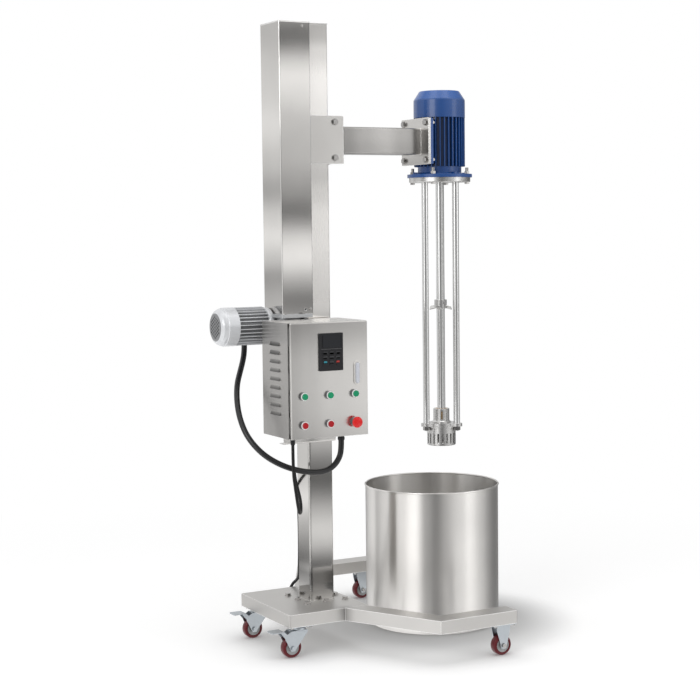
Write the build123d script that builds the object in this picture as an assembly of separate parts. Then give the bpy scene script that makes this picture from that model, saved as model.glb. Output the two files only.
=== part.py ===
"""High shear mixer on a wheeled fork base.

The origin lies on the floor under the axis of the mixing head. +X points along the arm, away from
the column, +Y to the rear and +Z up. All lengths are millimetres.
"""
from build123d import *
import math
import os

os.makedirs("parts", exist_ok=True)

# Places of the main axes
reach = 560                  # column axis to mixing-head axis
column_x = -reach
tank_x = -20                 # tank axis beside the head axis, towards the column
tank_y = 45                  # tank axis behind the head axis

# Clearances
running = 0.05               # radial gap of a shaft in its bore
easy = 0.3                   # gap beside a piece that slides, rolls or lies against a curve
bolt_gap = 0.5               # radial gap of a bolt in its hole

# Fork base, measured from the column axis
base_underside = 118         # overall height of the casters
base_thickness = 48
base_left = 218
base_right = 105
base_half_depth = 207
base_wall = 4
leg_width = 76
leg_wall = 3
leg_root_x = 11              # where a leg's outer edge leaves the base
leg_corner_x = 204
leg_end_x = 531
leg_outer_y = 563
base_corner_radius = 5

# Column and its foot
column_size = 100
column_wall = 5
column_corner = 7
column_top = 2300
foot_size = 200
foot_thickness = 10
foot_bolt_offset = 80
foot_bolt_size = 12

# Lift-screw housing beside the column
cover_left = 162
cover_right = 38
cover_half_depth = 77
cover_sheet = 2
cover_bottom = 1244
cap_sheet = 3
cap_bar_height = 38
cap_bar_x = (150, 62)
screw_offset = 106           # screw axis to column axis
screw_radius = 14
journal_radius = 11
nut_height = 70
cap_screw = (68, 14, 3)      # left of the column axis, below the top, radius
foot_screw = (48, 17, 3)     # left of the column axis, above the housing's lower edge, radius
drain_hole = (68, 16, 4)     # left of the column axis, above the housing's lower edge, radius

# Carriage that rides on the column
carriage_level = 1880        # mid height of the arm at rest
cheek_height = 176
cheek_thickness = 8
cheek_gap = 2                # column side to cheek
cheek_left = 140
cheek_right = 107
roller_radius = 21
roller_spacing = 131
roller_bolt_size = 12
end_plate_thickness = 12

# Arm and motor plate
arm_height = 100
arm_depth = 90
arm_wall = 4
arm_corner = 7
motor_foot_height = 100      # motor axis to the face of its feet
motor_plate_thickness = 10
motor_plate_width = 200
motor_plate_height = 176
motor_bolt_across = 160
motor_bolt_along = 140
motor_bolt_size = 12

# Main motor
flange_underside = 1744
flange_radius = 125
flange_thickness = 13
flange_pitch_circle = 215
flange_bolt_size = 12
neck_radius = 84
motor_body_bottom = 1786
motor_body_top = 1972
motor_core_radius = 84
motor_fin_radius = 98
motor_fin_count = 36
motor_fin_thickness = 3.2
cowl_radius = 99
cowl_shoulder = 2042
cowl_top = 2074
cowl_top_radius = 76
cowl_wall = 2
motor_shaft_radius = 14

# Mixing head
adapter_radius = 112
adapter_thickness = 18
rod_radius = 12.5
rod_circle = 68
rod_angles = (60, 180, 300)
rod_end_radius = 8
rod_nut = (24, 15)             # across flats, height
lower_plate_top = 793
lower_plate_thickness = 12
lobe_radius = 21
lower_plate_core = 56
bearing_tube_radius = 31.5
bearing_tube_top = 848
bush_radius = 24
shaft_radius = 16
stator_radius = 55.5
stator_wall = 6
stator_bottom = 706
stator_slots = 20
slot_width = 6.5
slot_low = 714
slot_high = 753
rotor_gap = 0.4
rotor_blades = 4
propeller_level = 1256
propeller_hub_radius = 24
propeller_hub_height = 34
propeller_radius = 40
propeller_blades = 4

# Control box, measured from the column axis
box_left = 250
box_width = 309
box_height = 410
box_bottom = 816
box_front = 309
box_back = 85
box_sheet = 2
door_depth = 17
door_sheet = 2.5
door_gap = 2
hinge_inset = 4              # hinge axis inside the door's left edge
hinge_depth = 10             # hinge axis behind the door's face
hinge_knuckle = 3.4
hinge_pin_radius = 1.6
louvre_count = 9
louvre_pitch = 31
louvre_first = 76            # below the top of the box
louvre_length = 72
louvre_height = 15
louvre_rise = 5
louvre_back = 68             # from the back of the box to the louvres
rail_left = 169
rail_right = 46
rail_height = 70
rail_levels = (768, 1130)
rail_sheet = 3
rail_bolt_x = 30
rail_bolt_z = 22
rail_bolt_size = 8

# Door fittings, from the door's left edge and top
button_columns = (50, 152, 254)
button_rows = (259, 361)
button_travel = 4
button_radius = 11
collar_radius = 15
collar_shank = 12.5
collar_face = 12             # front of a collar before the door
cap_rise = 25                # length of a button cap's stem and head
keypad_left = 113
keypad_top = 39
keypad_width = 94
keypad_height = 134
latch_x = 266
latch_top = 143
latch_length = 86
latch_width = 27

# Lift drive
drive_y = 40                 # worm and lift-motor axis behind the screw axis
drive_level = 1200
drive_face = 164             # gearbox face where the lift motor bolts on
lift_motor_radius = 70
lift_core_radius = 58
lift_fin_count = 30
lift_cowl_end = 380
lift_cowl_wall = 2
gearbox_bolt_size = 10
seat_thickness = 12          # flange that carries the housing
seat_half_depth = 98
seat_bolt_x = (158, 83)
seat_bolt_y = 87.5
seat_bolt_size = 8
seat_left = 175
wheel_case_radius = 50
wheel_case_drop = 42         # worm-wheel case below the worm axis
gearbox_foot_drop = 64
gearbox_bolt_levels = (-50, 14)   # from the worm axis
gearbox_foot_thickness = 8
motor_face_radius = 52
lift_shield_radius = 66
lift_shield_length = 26
lift_fins_end = 145          # from the gearbox face
lift_tail_end = 173          # from the gearbox face
terminal_x = (262, 192)      # left of the column axis
terminal_y = (104, 150)
terminal_z = (-34, 34)       # from the motor axis
conduit_start = (225, 124)   # left of the column axis, behind it

# Casters
wheel_radius = 37.5
wheel_width = 30
axle_radius = 5
swivel_x = -160              # swivel axis from the column axis
swivel_y = 165
swivel_offset = 32
fork_gap = 17.5              # wheel centre to the inside of a fork cheek
fork_sheet = 3
fixed_x = 482
caster_plate = (95, 67, 4)
pedal_pivot = (-55, 78)
pedal_pin = 3
pedal_reach = 118

# Tank
tank_radius = 261
tank_height = 551
tank_wall = 2
tank_floor = 3
tank_knuckle = 28            # bend between wall and floor
rim_radius = 3.5

# Cords
conduit_radius = 10.5
gland_length = 29
lead_radius = 5.75
lead_end_x = 6               # end of the lead at the coil, from the column axis
lead_end_y = 328
coil_mean_radius = 63
coil_setback = 44            # coil centre behind the end of the lead
plug_setback = 10            # plug in front of the end of the lead

base_top = base_underside + base_thickness
cheek_inner = column_size / 2 + cheek_gap
cheek_outer = cheek_inner + cheek_thickness
roller_x = column_x + column_size / 2 + easy + roller_radius
roller_levels = (carriage_level + roller_spacing / 2, carriage_level - roller_spacing / 2)
arm_end_x = -motor_foot_height - motor_plate_thickness
box_top = box_bottom + box_height
screw_foot = drive_level - 28
door_face_y = -box_front
door_back_y = door_face_y + door_depth
shell_front_y = door_back_y + door_gap
box_x0 = column_x - box_left
box_x1 = box_x0 + box_width
hinge_x = box_x0 + hinge_inset
hinge_y = door_face_y + hinge_depth
screw_x = column_x - screw_offset
conduit_start_x = column_x - conduit_start[0]
conduit_start_y = conduit_start[1]
lift_gland_z = drive_level + terminal_z[0]
stator_bore = stator_radius - stator_wall
stator_top = lower_plate_top - lower_plate_thickness


def block(x0, x1, y0, y1, z0, z1):
    """A box between two corners."""
    middle = Pos((x0 + x1) / 2, (y0 + y1) / 2, (z0 + z1) / 2)
    return middle * Box(abs(x1 - x0), abs(y1 - y0), abs(z1 - z0))


def bar(start, end, radius):
    """A round bar from one point to another."""
    axis = Vector(*end) - Vector(*start)
    seat = Plane(origin=start, z_dir=axis)
    return seat * Cylinder(radius, axis.length, align=(Align.CENTER, Align.CENTER, Align.MIN))


def turned(profile):
    """A solid of revolution about Z; the profile holds (radius, height) points."""
    return revolve(make_face(Plane.XZ * Polyline(*profile, close=True)), Axis.Z)


def plate(outline, z0, z1):
    """A flat plate of any outline between two levels."""
    return Pos(0, 0, z0) * extrude(outline, z1 - z0, dir=(0, 0, 1))


def hexagon(across, height):
    """A hexagon prism that stands on Z = 0."""
    return extrude(RegularPolygon(across / 2, 6, major_radius=False), height)


def bolt(size, shank, washer=True):
    """A hexagon bolt with its seat at Z = 0, head up and shank down."""
    lift = 0.15 * size if washer else 0
    piece = Pos(0, 0, lift) * hexagon(1.6 * size, 0.62 * size)
    if washer:
        piece += Cylinder(1.05 * size, lift, align=(Align.CENTER, Align.CENTER, Align.MIN))
    return piece + bar((0, 0, lift + 0.2), (0, 0, -shank), size / 2)


def placed(piece, point, facing):
    """A piece made along +Z, moved to a point and turned to face a direction."""
    return Plane(origin=point, z_dir=facing) * piece


def mirrored(piece):
    """The piece on the other side of the machine's middle plane."""
    return mirror(piece, about=Plane.XZ)


def save(name, *pieces):
    """Write one node; loose pieces stay separate solids of it."""
    solids = [solid for piece in pieces for solid in piece.solids()]
    export_step(Compound(children=solids) if len(solids) > 1 else solids[0], f"parts/{name}.step")


def foot_bolt_places():
    """The eight foot bolts, three along each side of the foot plate."""
    steps = (-foot_bolt_offset, 0, foot_bolt_offset)
    return [(column_x + x, y) for x in steps for y in steps if x or y]


def base_platform():
    """Closed box of folded sheet that carries the column."""
    x0 = column_x - base_left
    x1 = column_x + base_right
    body = block(x0, x1, -base_half_depth, base_half_depth, base_underside, base_top)
    left_corners = body.edges().filter_by(Axis.Z).sort_by(Axis.X)[:2]
    body = fillet(left_corners, base_corner_radius)
    body = fillet(body.faces().sort_by(Axis.Z)[-1].edges().sort_by(Axis.X)[0], 2)
    hollow = block(x0 + base_wall, x1 - base_wall, -base_half_depth + base_wall,
                   base_half_depth - base_wall, base_underside + base_wall, base_top - base_wall)
    body -= hollow
    hole = column_size / 2 + bolt_gap
    body -= block(column_x - hole, column_x + hole, -hole, hole, base_top - base_wall - 1, base_top + 1)
    for x, y in foot_bolt_places():
        body -= bar((x, y, base_top - base_wall - 1), (x, y, base_top + 1), foot_bolt_size / 2 + bolt_gap)
    return body


def leg_outline(inset):
    """Plan of the front leg: a splayed run, a corner and a run along X."""
    splay = math.atan2(leg_outer_y - base_half_depth, leg_corner_x - leg_root_x)
    root_width = leg_width / math.sin(splay)
    inner_y = leg_outer_y - leg_width
    inner_x = leg_root_x + root_width + (inner_y - base_half_depth) / math.tan(splay)
    points = [(leg_root_x, base_half_depth), (leg_corner_x, leg_outer_y), (leg_end_x, leg_outer_y),
              (leg_end_x, inner_y), (inner_x, inner_y), (leg_root_x + root_width, base_half_depth)]
    outline = make_face(Polyline(*[(column_x + x, -y) for x, y in points], close=True))
    return offset(outline, amount=-inset, kind=Kind.INTERSECTION) if inset else outline


def fork_leg():
    """Front leg, a closed rectangular section welded to the base."""
    body = plate(leg_outline(0), base_underside, base_top)
    end_edges = body.edges().filter_by(Axis.Z).sort_by(Axis.X)[-2:]
    body = fillet(end_edges, base_corner_radius)
    hollow = plate(leg_outline(leg_wall), base_underside + leg_wall, base_top - leg_wall)
    return body - hollow


def column_tube():
    """Square column with its foot plate welded on, which lies under the top sheet of the base."""
    half = column_size / 2
    bottom = base_top - base_wall - foot_thickness
    tube = block(column_x - half, column_x + half, -half, half, bottom, column_top)
    tube = fillet(tube.edges().filter_by(Axis.Z), column_corner)
    foot_half = foot_size / 2
    foot = block(column_x - foot_half, column_x + foot_half, -foot_half, foot_half,
                 bottom, bottom + foot_thickness)
    body = tube + foot
    inner = half - column_wall
    body -= block(column_x - inner, column_x + inner, -inner, inner, bottom - 1, column_top + 1)
    for x, y in foot_bolt_places():
        body -= bar((x, y, bottom - 1), (x, y, bottom + foot_thickness + 1), foot_bolt_size / 2 + bolt_gap)
    for x, z in rail_bolt_places():
        body -= bar((x, -half - 1, z), (x, -half + column_wall + 1, z), rail_bolt_size / 2 + bolt_gap)
    for y, z in gearbox_bolt_places():
        x = column_x - half
        body -= bar((x - 1, y, z), (x + column_wall + 1, y, z), gearbox_bolt_size / 2 + bolt_gap)
    return body


def rail_bolt_places():
    """Bolts of the lower rail against the column, as (x, z); the upper rail is welded on."""
    return [(column_x + side * rail_bolt_x, rail_levels[0] + rail_bolt_z) for side in (-1, 1)]


def gearbox_bolt_places():
    """Bolts of the gearbox foot against the column, as (y, z)."""
    return [(y, drive_level + z) for y in (-37, 37) for z in gearbox_bolt_levels]


def cap_outline():
    """Plan of the top cap: the housing's rectangle with the column's square beside it."""
    half = column_size / 2
    housing = Pos(column_x - (cover_left + cover_right) / 2, 0) * Rectangle(
        cover_left - cover_right, 2 * cover_half_depth)
    return housing + Pos(column_x, 0) * Rectangle(2 * half, 2 * half)


def column_top_cap():
    """Cap of column and housing, with the bar that holds the screw's upper end."""
    body = plate(cap_outline(), column_top, column_top + cap_sheet)
    inside = cover_half_depth - cover_sheet
    body += block(column_x - cap_bar_x[0], column_x - cap_bar_x[1], -inside, inside,
                  column_top - cap_bar_height, column_top)
    body -= bar((screw_x, 0, column_top - cap_bar_height - 1), (screw_x, 0, column_top - 8),
                journal_radius + running)
    return body - cap_screw_hole(1) - cap_screw_hole(-1)


def cap_screw_hole(side):
    """Hole for the screw that holds the housing to the cap's bar."""
    x = column_x - cap_screw[0]
    z = column_top - cap_screw[1]
    y = side * cover_half_depth
    return bar((x, y - side * 14, z), (x, y + side, z), cap_screw[2] + 0.2)


def screw_cover():
    """Three-sided sheet housing of the lift screw, open towards the column."""
    x0 = column_x - cover_left
    x1 = column_x - cover_right
    deep = cover_half_depth
    body = block(x0, x1, -deep, deep, cover_bottom, column_top)
    body = fillet(body.edges().filter_by(Axis.Z).sort_by(Axis.X)[:2], 4)
    body -= block(x0 + cover_sheet, x1 + 1, -deep + cover_sheet, deep - cover_sheet,
                  cover_bottom - 1, column_top + 1)
    for side in (-1, 1):
        body -= cap_screw_hole(side)
        x = column_x - foot_screw[0]
        z = cover_bottom + foot_screw[1]
        body -= bar((x, side * (deep - 12), z), (x, side * (deep + 1), z), foot_screw[2] + 0.2)
        x = column_x - drain_hole[0]
        z = cover_bottom + drain_hole[1]
        body -= bar((x, side * (deep - 6), z), (x, side * (deep + 1), z), drain_hole[2])
    return body


def worm_gearbox():
    """Gearbox casting: seat of the housing, worm-wheel case, worm case, motor face and foot."""
    half = column_size / 2
    face_x = column_x - drive_face
    foot_x = column_x - half
    seat_top = cover_bottom
    case_low = drive_level - wheel_case_drop
    foot_low = drive_level - gearbox_foot_drop
    seat = block(column_x - seat_left, foot_x, -seat_half_depth, seat_half_depth, seat_top - seat_thickness, seat_top)
    seat = fillet(seat.edges().filter_by(Axis.Z).sort_by(Axis.X)[:2], 8)
    seat -= bar((column_x - seat_left - 1, drive_y, drive_level), (face_x, drive_y, drive_level),
                lift_shield_radius + 2)
    wheel_case = bar((screw_x, 0, case_low), (screw_x, 0, seat_top - 2), wheel_case_radius)
    bottom_cap = bar((screw_x, 0, case_low - 8), (screw_x, 0, case_low + 1), 36)
    worm_case = bar((face_x + 4, drive_y, drive_level), (foot_x - 26, drive_y, drive_level), 31)
    motor_face = bar((face_x, drive_y, drive_level), (face_x + 12, drive_y, drive_level), motor_face_radius)
    motor_face -= block(face_x - 1, face_x + 13, drive_y - 60, drive_y + 60, seat_top, seat_top + 60)
    foot = block(foot_x - gearbox_foot_thickness, foot_x, -45, 45, foot_low, seat_top)
    rib = block(screw_x, foot_x, -6, 6, foot_low + 4, seat_top - 4)
    body = seat + wheel_case + bottom_cap + worm_case + motor_face + foot + rib
    for side in (-1, 1):
        lug_y = side * (half + cheek_gap + 1)
        inside = side * (cover_half_depth - cover_sheet)
        lug = block(foot_x - 26, column_x - cover_right - 2, lug_y, inside, seat_top - 1, seat_top + 32)
        lug -= bar((column_x - foot_screw[0], side * 60, seat_top + foot_screw[1]),
                   (column_x - foot_screw[0], side * 80, seat_top + foot_screw[1]), foot_screw[2] + 0.2)
        lug -= bar((column_x - drain_hole[0], side * 68, seat_top + drain_hole[1]),
                   (column_x - drain_hole[0], side * 80, seat_top + drain_hole[1]), drain_hole[2])
        body += lug
        for x in seat_bolt_x:
            body -= bar((column_x - x, side * seat_bolt_y, seat_top - seat_thickness - 1),
                        (column_x - x, side * seat_bolt_y, seat_top + 1), seat_bolt_size / 2 + bolt_gap)
    body -= block(foot_x, foot_x + half, -seat_half_depth, seat_half_depth, foot_low - 30, seat_top)
    body -= bar((screw_x, 0, screw_foot - 1), (screw_x, 0, seat_top + 1), screw_radius + running)
    body -= bar((screw_x, 0, case_low + 2), (screw_x, 0, screw_foot), journal_radius + running)
    for y, z in gearbox_bolt_places():
        body -= bar((foot_x - gearbox_foot_thickness - 1, y, z), (foot_x + 1, y, z),
                    gearbox_bolt_size / 2 + bolt_gap)
    return body


def lift_screw():
    """Lift screw with its two journals."""
    top = column_top - 12
    neck = column_top - cap_bar_height - 2
    low = drive_level - wheel_case_drop + 6
    return turned([(0, low), (journal_radius, low), (journal_radius, screw_foot + 1),
                   (screw_radius, screw_foot + 1), (screw_radius, neck), (journal_radius, neck),
                   (journal_radius, top), (0, top)]).moved(Location((screw_x, 0, 0)))


def finned_ring(core, tip, count, thickness, length):
    """Round motor casing with straight fins along Z."""
    section = Circle(core)
    fin = Pos((core + tip) / 2 - 1, 0) * Rectangle(tip - core + 2, thickness)
    section += [Rot(0, 0, 360 * n / count) * fin for n in range(count)]
    return extrude(section, length)


def lift_motor_body():
    """Lift motor between its gearbox face and its fan cowl, axis along X."""
    fins = finned_ring(lift_core_radius, lift_motor_radius, lift_fin_count, 2.6, lift_fins_end - lift_shield_length)
    r = lift_shield_radius
    end = lift_shield_length
    drive_shield = turned([(0, 0), (r - 8, 0), (r - 2, 3), (r, 8), (r, end - 7), (r - 5, end), (0, end)])
    r = lift_motor_radius + 1
    spigot = r - lift_cowl_wall - easy
    length = lift_tail_end - lift_fins_end
    tail_shield = turned([(0, 0), (r, 0), (r, length), (spigot, length), (spigot, length + 5), (0, length + 5)])
    body = drive_shield + Pos(0, 0, lift_shield_length) * fins + Pos(0, 0, lift_fins_end) * tail_shield
    return placed(body, (column_x - drive_face, drive_y, drive_level), (-1, 0, 0))


def grille_cells(rings, pitch, across):
    """Hexagon-packed round of small hexagon holes."""
    places = [(0, 0)]
    for ring in range(1, rings + 1):
        for side in range(6):
            corner = Vector(ring * pitch, 0).rotate(Axis.Z, 60 * side)
            step = Vector(pitch, 0).rotate(Axis.Z, 60 * side + 120)
            places += [((corner + step * n).X, (corner + step * n).Y) for n in range(ring)]
    return [Pos(x, y) * RegularPolygon(across / 2, 6) for x, y in places]


def lift_motor_fan_cowl():
    """Domed fan cowl with a perforated end, axis along X."""
    start = lift_tail_end
    length = lift_cowl_end - drive_face - start
    r = lift_motor_radius
    wall = lift_cowl_wall
    outer = turned([(0, 0), (r + 1, 0), (r + 1, 14), (r - 1, 16), (r - 2, length - 19), (r - 6, length - 11),
                    (r - 12, length - 5), (r - 19, length - 1), (r - 23, length), (0, length)])
    inner = turned([(0, -1), (r + 1 - wall, -1), (r + 1 - wall, 12), (r - 1 - wall, 14.5),
                    (r - 2 - wall, length - 20), (r - 6 - wall, length - 13), (r - 12 - wall, length - 7),
                    (r - 18 - wall, length - 3), (r - 22 - wall, length - wall), (0, length - wall)])
    holes = extrude(Sketch() + grille_cells(3, 12.5, 9.4), 10)
    body = outer - inner - Pos(0, 0, length - 6) * holes
    return placed(body, (column_x - drive_face - start, drive_y, drive_level), (-1, 0, 0))


def lift_motor_terminal_box():
    """Terminal box on the rear side of the lift motor."""
    x0 = column_x - terminal_x[0]
    x1 = column_x - terminal_x[1]
    z0 = drive_level + terminal_z[0]
    z1 = drive_level + terminal_z[1]
    body = block(x0, x1, terminal_y[0], terminal_y[1] - 8, z0, z1)
    body = fillet(body.edges().filter_by(Axis.Y), 6)
    lid = block(x0 - 2, x1 + 2, terminal_y[1] - 8, terminal_y[1], z0 - 2, z1 + 2)
    lid = fillet(lid.edges().filter_by(Axis.Y), 7)
    casing = bar((x0 - 5, drive_y, drive_level), (x1 + 5, drive_y, drive_level), lift_motor_radius + easy)
    thread = bar((conduit_start_x, conduit_start_y, lift_gland_z - 1),
                 (conduit_start_x, conduit_start_y, lift_gland_z + 5), 10)
    return body + lid - casing - thread


def louvre():
    """One louvre about the origin: a hooded slot in a wall whose outside is -X."""
    half = louvre_length / 2
    high = louvre_height / 2
    hood = extrude(make_face(Plane.XZ * Polyline((0, -high), (-louvre_rise, -high), (0, high), close=True)),
                   louvre_length / 2, both=True)
    skin = 1.2
    hollow = extrude(make_face(Plane.XZ * Polyline((4, -high - 1), (-louvre_rise + skin, -high - 1),
                                                   (-louvre_rise + skin, -high), (0.3, high - 3),
                                                   (4, high - 3), close=True)),
                     half - 1.5, both=True)
    return hood, hollow


def control_box_shell():
    """Sheet body of the control box, open at the front behind the door."""
    x0, x1 = box_x0, box_x1
    y0, y1 = shell_front_y, -box_back
    body = block(x0, x1, y0, y1, box_bottom, box_top)
    body = fillet(body.edges().filter_by(Axis.X).sort_by(Axis.Y)[-2:], 3)
    lip = 12
    body -= block(x0 + box_sheet, x1 - box_sheet, y0 + box_sheet, y1 - box_sheet,
                  box_bottom + box_sheet, box_top - box_sheet)
    body -= block(x0 + lip, x1 - lip, y0 - 1, y0 + box_sheet + 1, box_bottom + lip, box_top - lip)
    louvre_y = -box_back - louvre_back - louvre_length / 2
    for n in range(louvre_count):
        hood, hollow = louvre()
        seat = Pos(x0, louvre_y, box_top - louvre_first - n * louvre_pitch)
        body += seat * hood
        body -= seat * hollow
    for x, y, size in box_gland_places():
        body -= bar((x, y, box_bottom - 1), (x, y, box_bottom + box_sheet + 1), size)
    for x, z in box_bolt_places():
        body -= bar((x, y1 - box_sheet - 1, z), (x, y1 + 1, z), rail_bolt_size / 2 + bolt_gap)
    for low, high in shell_knuckles():
        body += hinge_knuckle_piece(low, high, door_side=False)
    return body


def box_gland_places():
    """Glands in the floor of the control box, as (x, y, thread radius)."""
    return [(column_x + 7, -200, 10), (column_x - 204, -228, 8)]


def box_bolt_places():
    """Bolts of the box's back to the upper and lower mounting rail, as (x, z)."""
    z_low = rail_levels[0] + rail_height - 12
    z_high = rail_levels[1] + rail_height / 2
    return [(column_x + x, z) for x in (-140, 20) for z in (z_low, z_high)]


def knuckle_spans():
    """Five hinge knuckles in a row; the door has the second and fourth."""
    length = 60
    pitch = (box_height - 40 - length) / 4
    low = box_bottom + 20
    return [(low + n * pitch, low + n * pitch + length) for n in range(5)]


def shell_knuckles():
    """Knuckles on the box."""
    return knuckle_spans()[::2]


def door_knuckles():
    """Knuckles on the door."""
    return knuckle_spans()[1::2]


def hinge_knuckle_piece(low, high, door_side):
    """One hinge knuckle with the leaf that joins it to the box or to the door."""
    piece = bar((hinge_x, hinge_y, low), (hinge_x, hinge_y, high), hinge_knuckle)
    if door_side:
        piece += block(hinge_x, door_skirt_x() + 0.5, hinge_y - 2, hinge_y, low, high)
    else:
        piece += block(box_x0, box_x0 + box_sheet, hinge_y, shell_front_y + 0.5, low, high)
    return piece - bar((hinge_x, hinge_y, low - 1), (hinge_x, hinge_y, high + 1), hinge_pin_radius + running)


def door_skirt_x():
    """Left skirt of the door, set back so that the hinge fits beside it."""
    return box_x0 + 8


def button_places():
    """Button axes on the door, left to right and top row first, as (x, z)."""
    return [(box_x0 + x, box_top - z) for z in button_rows for x in button_columns]


def latch_outline(width, length):
    """Round-ended upright outline of the latch, drawn on the door's face."""
    z = box_top - latch_top - latch_length / 2
    return Plane(origin=(box_x0 + latch_x, 0, z), x_dir=(1, 0, 0), z_dir=(0, -1, 0)) * SlotOverall(
        length, width, rotation=90)


def latch_slab(width, length, y0, y1):
    """Round-ended slab between two depths."""
    return Pos(0, y1, 0) * extrude(latch_outline(width, length), y1 - y0)


def control_box_door():
    """Door: folded sheet with skirts, cut for the keypad, the latch and the buttons."""
    x0, x1 = box_x0, box_x1
    face = block(x0, x1, door_face_y, door_face_y + door_sheet, box_bottom, box_top)
    face = fillet(face.edges().filter_by(Axis.Z).sort_by(Axis.Y)[:2], 1.5)
    skirt = block(door_skirt_x(), x1, door_face_y + door_sheet, door_back_y, box_bottom, box_top)
    skirt -= block(door_skirt_x() + box_sheet, x1 - box_sheet, door_face_y, door_back_y + 1,
                   box_bottom + box_sheet, box_top - box_sheet)
    body = face + skirt
    for low, high in door_knuckles():
        body += hinge_knuckle_piece(low, high, door_side=True)
    back = door_face_y + door_sheet + 1
    for x, z in button_places():
        body -= bar((x, door_face_y - 1, z), (x, back, z), collar_shank + easy)
    body -= latch_slab(latch_width - 6, latch_length - 6, door_face_y - 1, back)
    inset = 3
    left = x0 + keypad_left + inset
    top = box_top - keypad_top - inset
    body -= block(left, left + keypad_width - 2 * inset, door_face_y - 1, back,
                  top - keypad_height + 2 * inset, top)
    return body




def drive_keypad():
    """Drive keypad: frame on the door's face, body through it, display and keys."""
    left = box_x0 + keypad_left
    top = box_top - keypad_top
    y = door_face_y
    frame = block(left, left + keypad_width, y - 8, y, top - keypad_height, top)
    frame = fillet(frame.edges().filter_by(Axis.Y), 3)
    frame = chamfer(frame.faces().sort_by(Axis.Y)[0].edges(), 1.5)
    inset = 3 + easy
    body = frame + block(left + inset, left + keypad_width - inset, y, y + 34,
                         top - keypad_height + inset, top - inset)
    body -= block(left + 8, left + keypad_width - 8, y - 9, y - 7, top - 56, top - 8)
    for row in range(3):
        for column in range(3):
            x = left + 20 + 27 * column
            z = top - 74 - 18 * row
            body += block(x - 8, x + 8, y - 9.2, y - 7.5, z - 5, z + 5)
    return body


def button_collars():
    """Collar, shank, lock nut and contact block of each button."""
    pieces = []
    for n, (x, z) in enumerate(button_places()):
        bore = button_radius + easy
        nose = turned([(bore, -4), (collar_shank, -4), (collar_shank, 0), (collar_radius, 0),
                       (collar_radius, collar_face - 2), (collar_radius - 1.5, collar_face),
                       (bore, collar_face)])
        shank = Pos(0, 0, -10) * Cylinder(collar_shank, 10, align=(Align.CENTER, Align.CENTER, Align.MIN))
        lock_nut = Pos(0, 0, -9) * hexagon(30, 6)
        contact = Pos(0, 0, -24) * Box(26, 32, 32)
        back = lock_nut + shank + contact
        back -= Pos(0, 0, -9) * Cylinder(bore, 20, align=(Align.CENTER, Align.CENTER, Align.MIN))
        pieces.append(placed(nose + back, (x, door_face_y, z), (0, -1, 0)))
    return pieces


def push_button(x, z):
    """Round button cap in its collar."""
    cap = turned([(0, -4.5), (button_radius, -4.5), (button_radius, cap_rise - 9), (button_radius - 1, cap_rise - 8),
                  (0, cap_rise - 7.5)])
    return placed(cap, (x, door_face_y, z), (0, -1, 0))


def emergency_stop(x, z):
    """Mushroom head on its stem."""
    rim = collar_face + button_travel + 1
    cap = turned([(0, -4.5), (button_radius, -4.5), (button_radius, rim), (17, rim), (20, rim + 3),
                  (20, rim + 6), (17, rim + 11), (10, rim + 13.5), (0, rim + 14.5)])
    return placed(cap, (x, door_face_y, z), (0, -1, 0))


def latch_frame():
    """Frame of the latch around its lever."""
    frame = latch_slab(latch_width, latch_length, door_face_y - 4, door_face_y)
    frame += latch_slab(latch_width - 7, latch_length - 7, door_face_y, door_face_y + 14)
    return frame - latch_slab(latch_width - 11, latch_length - 11, door_face_y - 5, door_face_y + 12)


def latch_lever():
    """Lever that hinges out of the latch frame about its lower end."""
    lever = latch_slab(latch_width - 12, latch_length - 12, door_face_y - 7, door_face_y + 1)
    return fillet(lever.faces().sort_by(Axis.Y)[0].edges(), 2)


def mounting_rails():
    """Two channels between the column and the back of the control box."""
    rails = []
    half = column_size / 2
    for level in rail_levels:
        outer = block(column_x - rail_left, column_x + rail_right, -box_back, -half, level, level + rail_height)
        outer = fillet(outer.edges().filter_by(Axis.X).sort_by(Axis.Y)[:2], 5)
        outer -= block(column_x - rail_left - 1, column_x + rail_right + 1, -box_back + rail_sheet, -half + 1,
                       level + rail_sheet, level + rail_height - rail_sheet)
        rails.append(outer)
    for x, z in rail_bolt_places():
        rails[0] += bar((x, -box_back + rail_sheet - 0.5, z), (x, -half, z), rail_bolt_size)
        rails[0] -= bar((x, -box_back - 1, z), (x, -half + 1, z), rail_bolt_size / 2 + bolt_gap)
    for x, z in box_bolt_places():
        hole = bar((x, -box_back - 1, z), (x, -box_back + rail_sheet + 1, z), rail_bolt_size / 2 + bolt_gap)
        rails = [rail - hole for rail in rails]
    return rails


def box_mounting_plate():
    """Mounting plate in the box with its rail, switchgear and terminals."""
    y0 = -box_back - 20
    body = block(box_x0 + 25, box_x1 - 25, y0, y0 + 3, box_bottom + 25, box_top - 25)
    for x in (box_x0 + 40, box_x1 - 40):
        for z in (box_bottom + 50, box_top - 90):
            body += bar((x, y0 + 2, z), (x, -box_back - box_sheet, z), 6)
    for z, widths, height, depth in ((1130, (45, 45, 45), 80, 75), (930, (12,) * 12, 50, 40)):
        body += block(box_x0 + 45, box_x1 - 45, y0 - 8, y0 + 1, z - 17, z + 17)
        x = box_x0 + 55
        for width in widths:
            body += block(x, x + width - 1, y0 - depth, y0 - 7, z - height / 2, z + height / 2)
            x += width
    return body


def gland(size, cord):
    """Cable gland with its seat at Z = 0, pointing along +Z, for one cord."""
    body = hexagon(2.5 * size, 7) + Pos(0, 0, 7) * turned([(0, 0), (1.1 * size, 0), (1.1 * size, 8),
                                                          (cord + 2.5, 14), (cord + 2, 22), (0, 22)])
    return body + Pos(0, 0, -4) * Cylinder(size - 0.5, 4.5, align=(Align.CENTER, Align.CENTER, Align.MIN))


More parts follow.
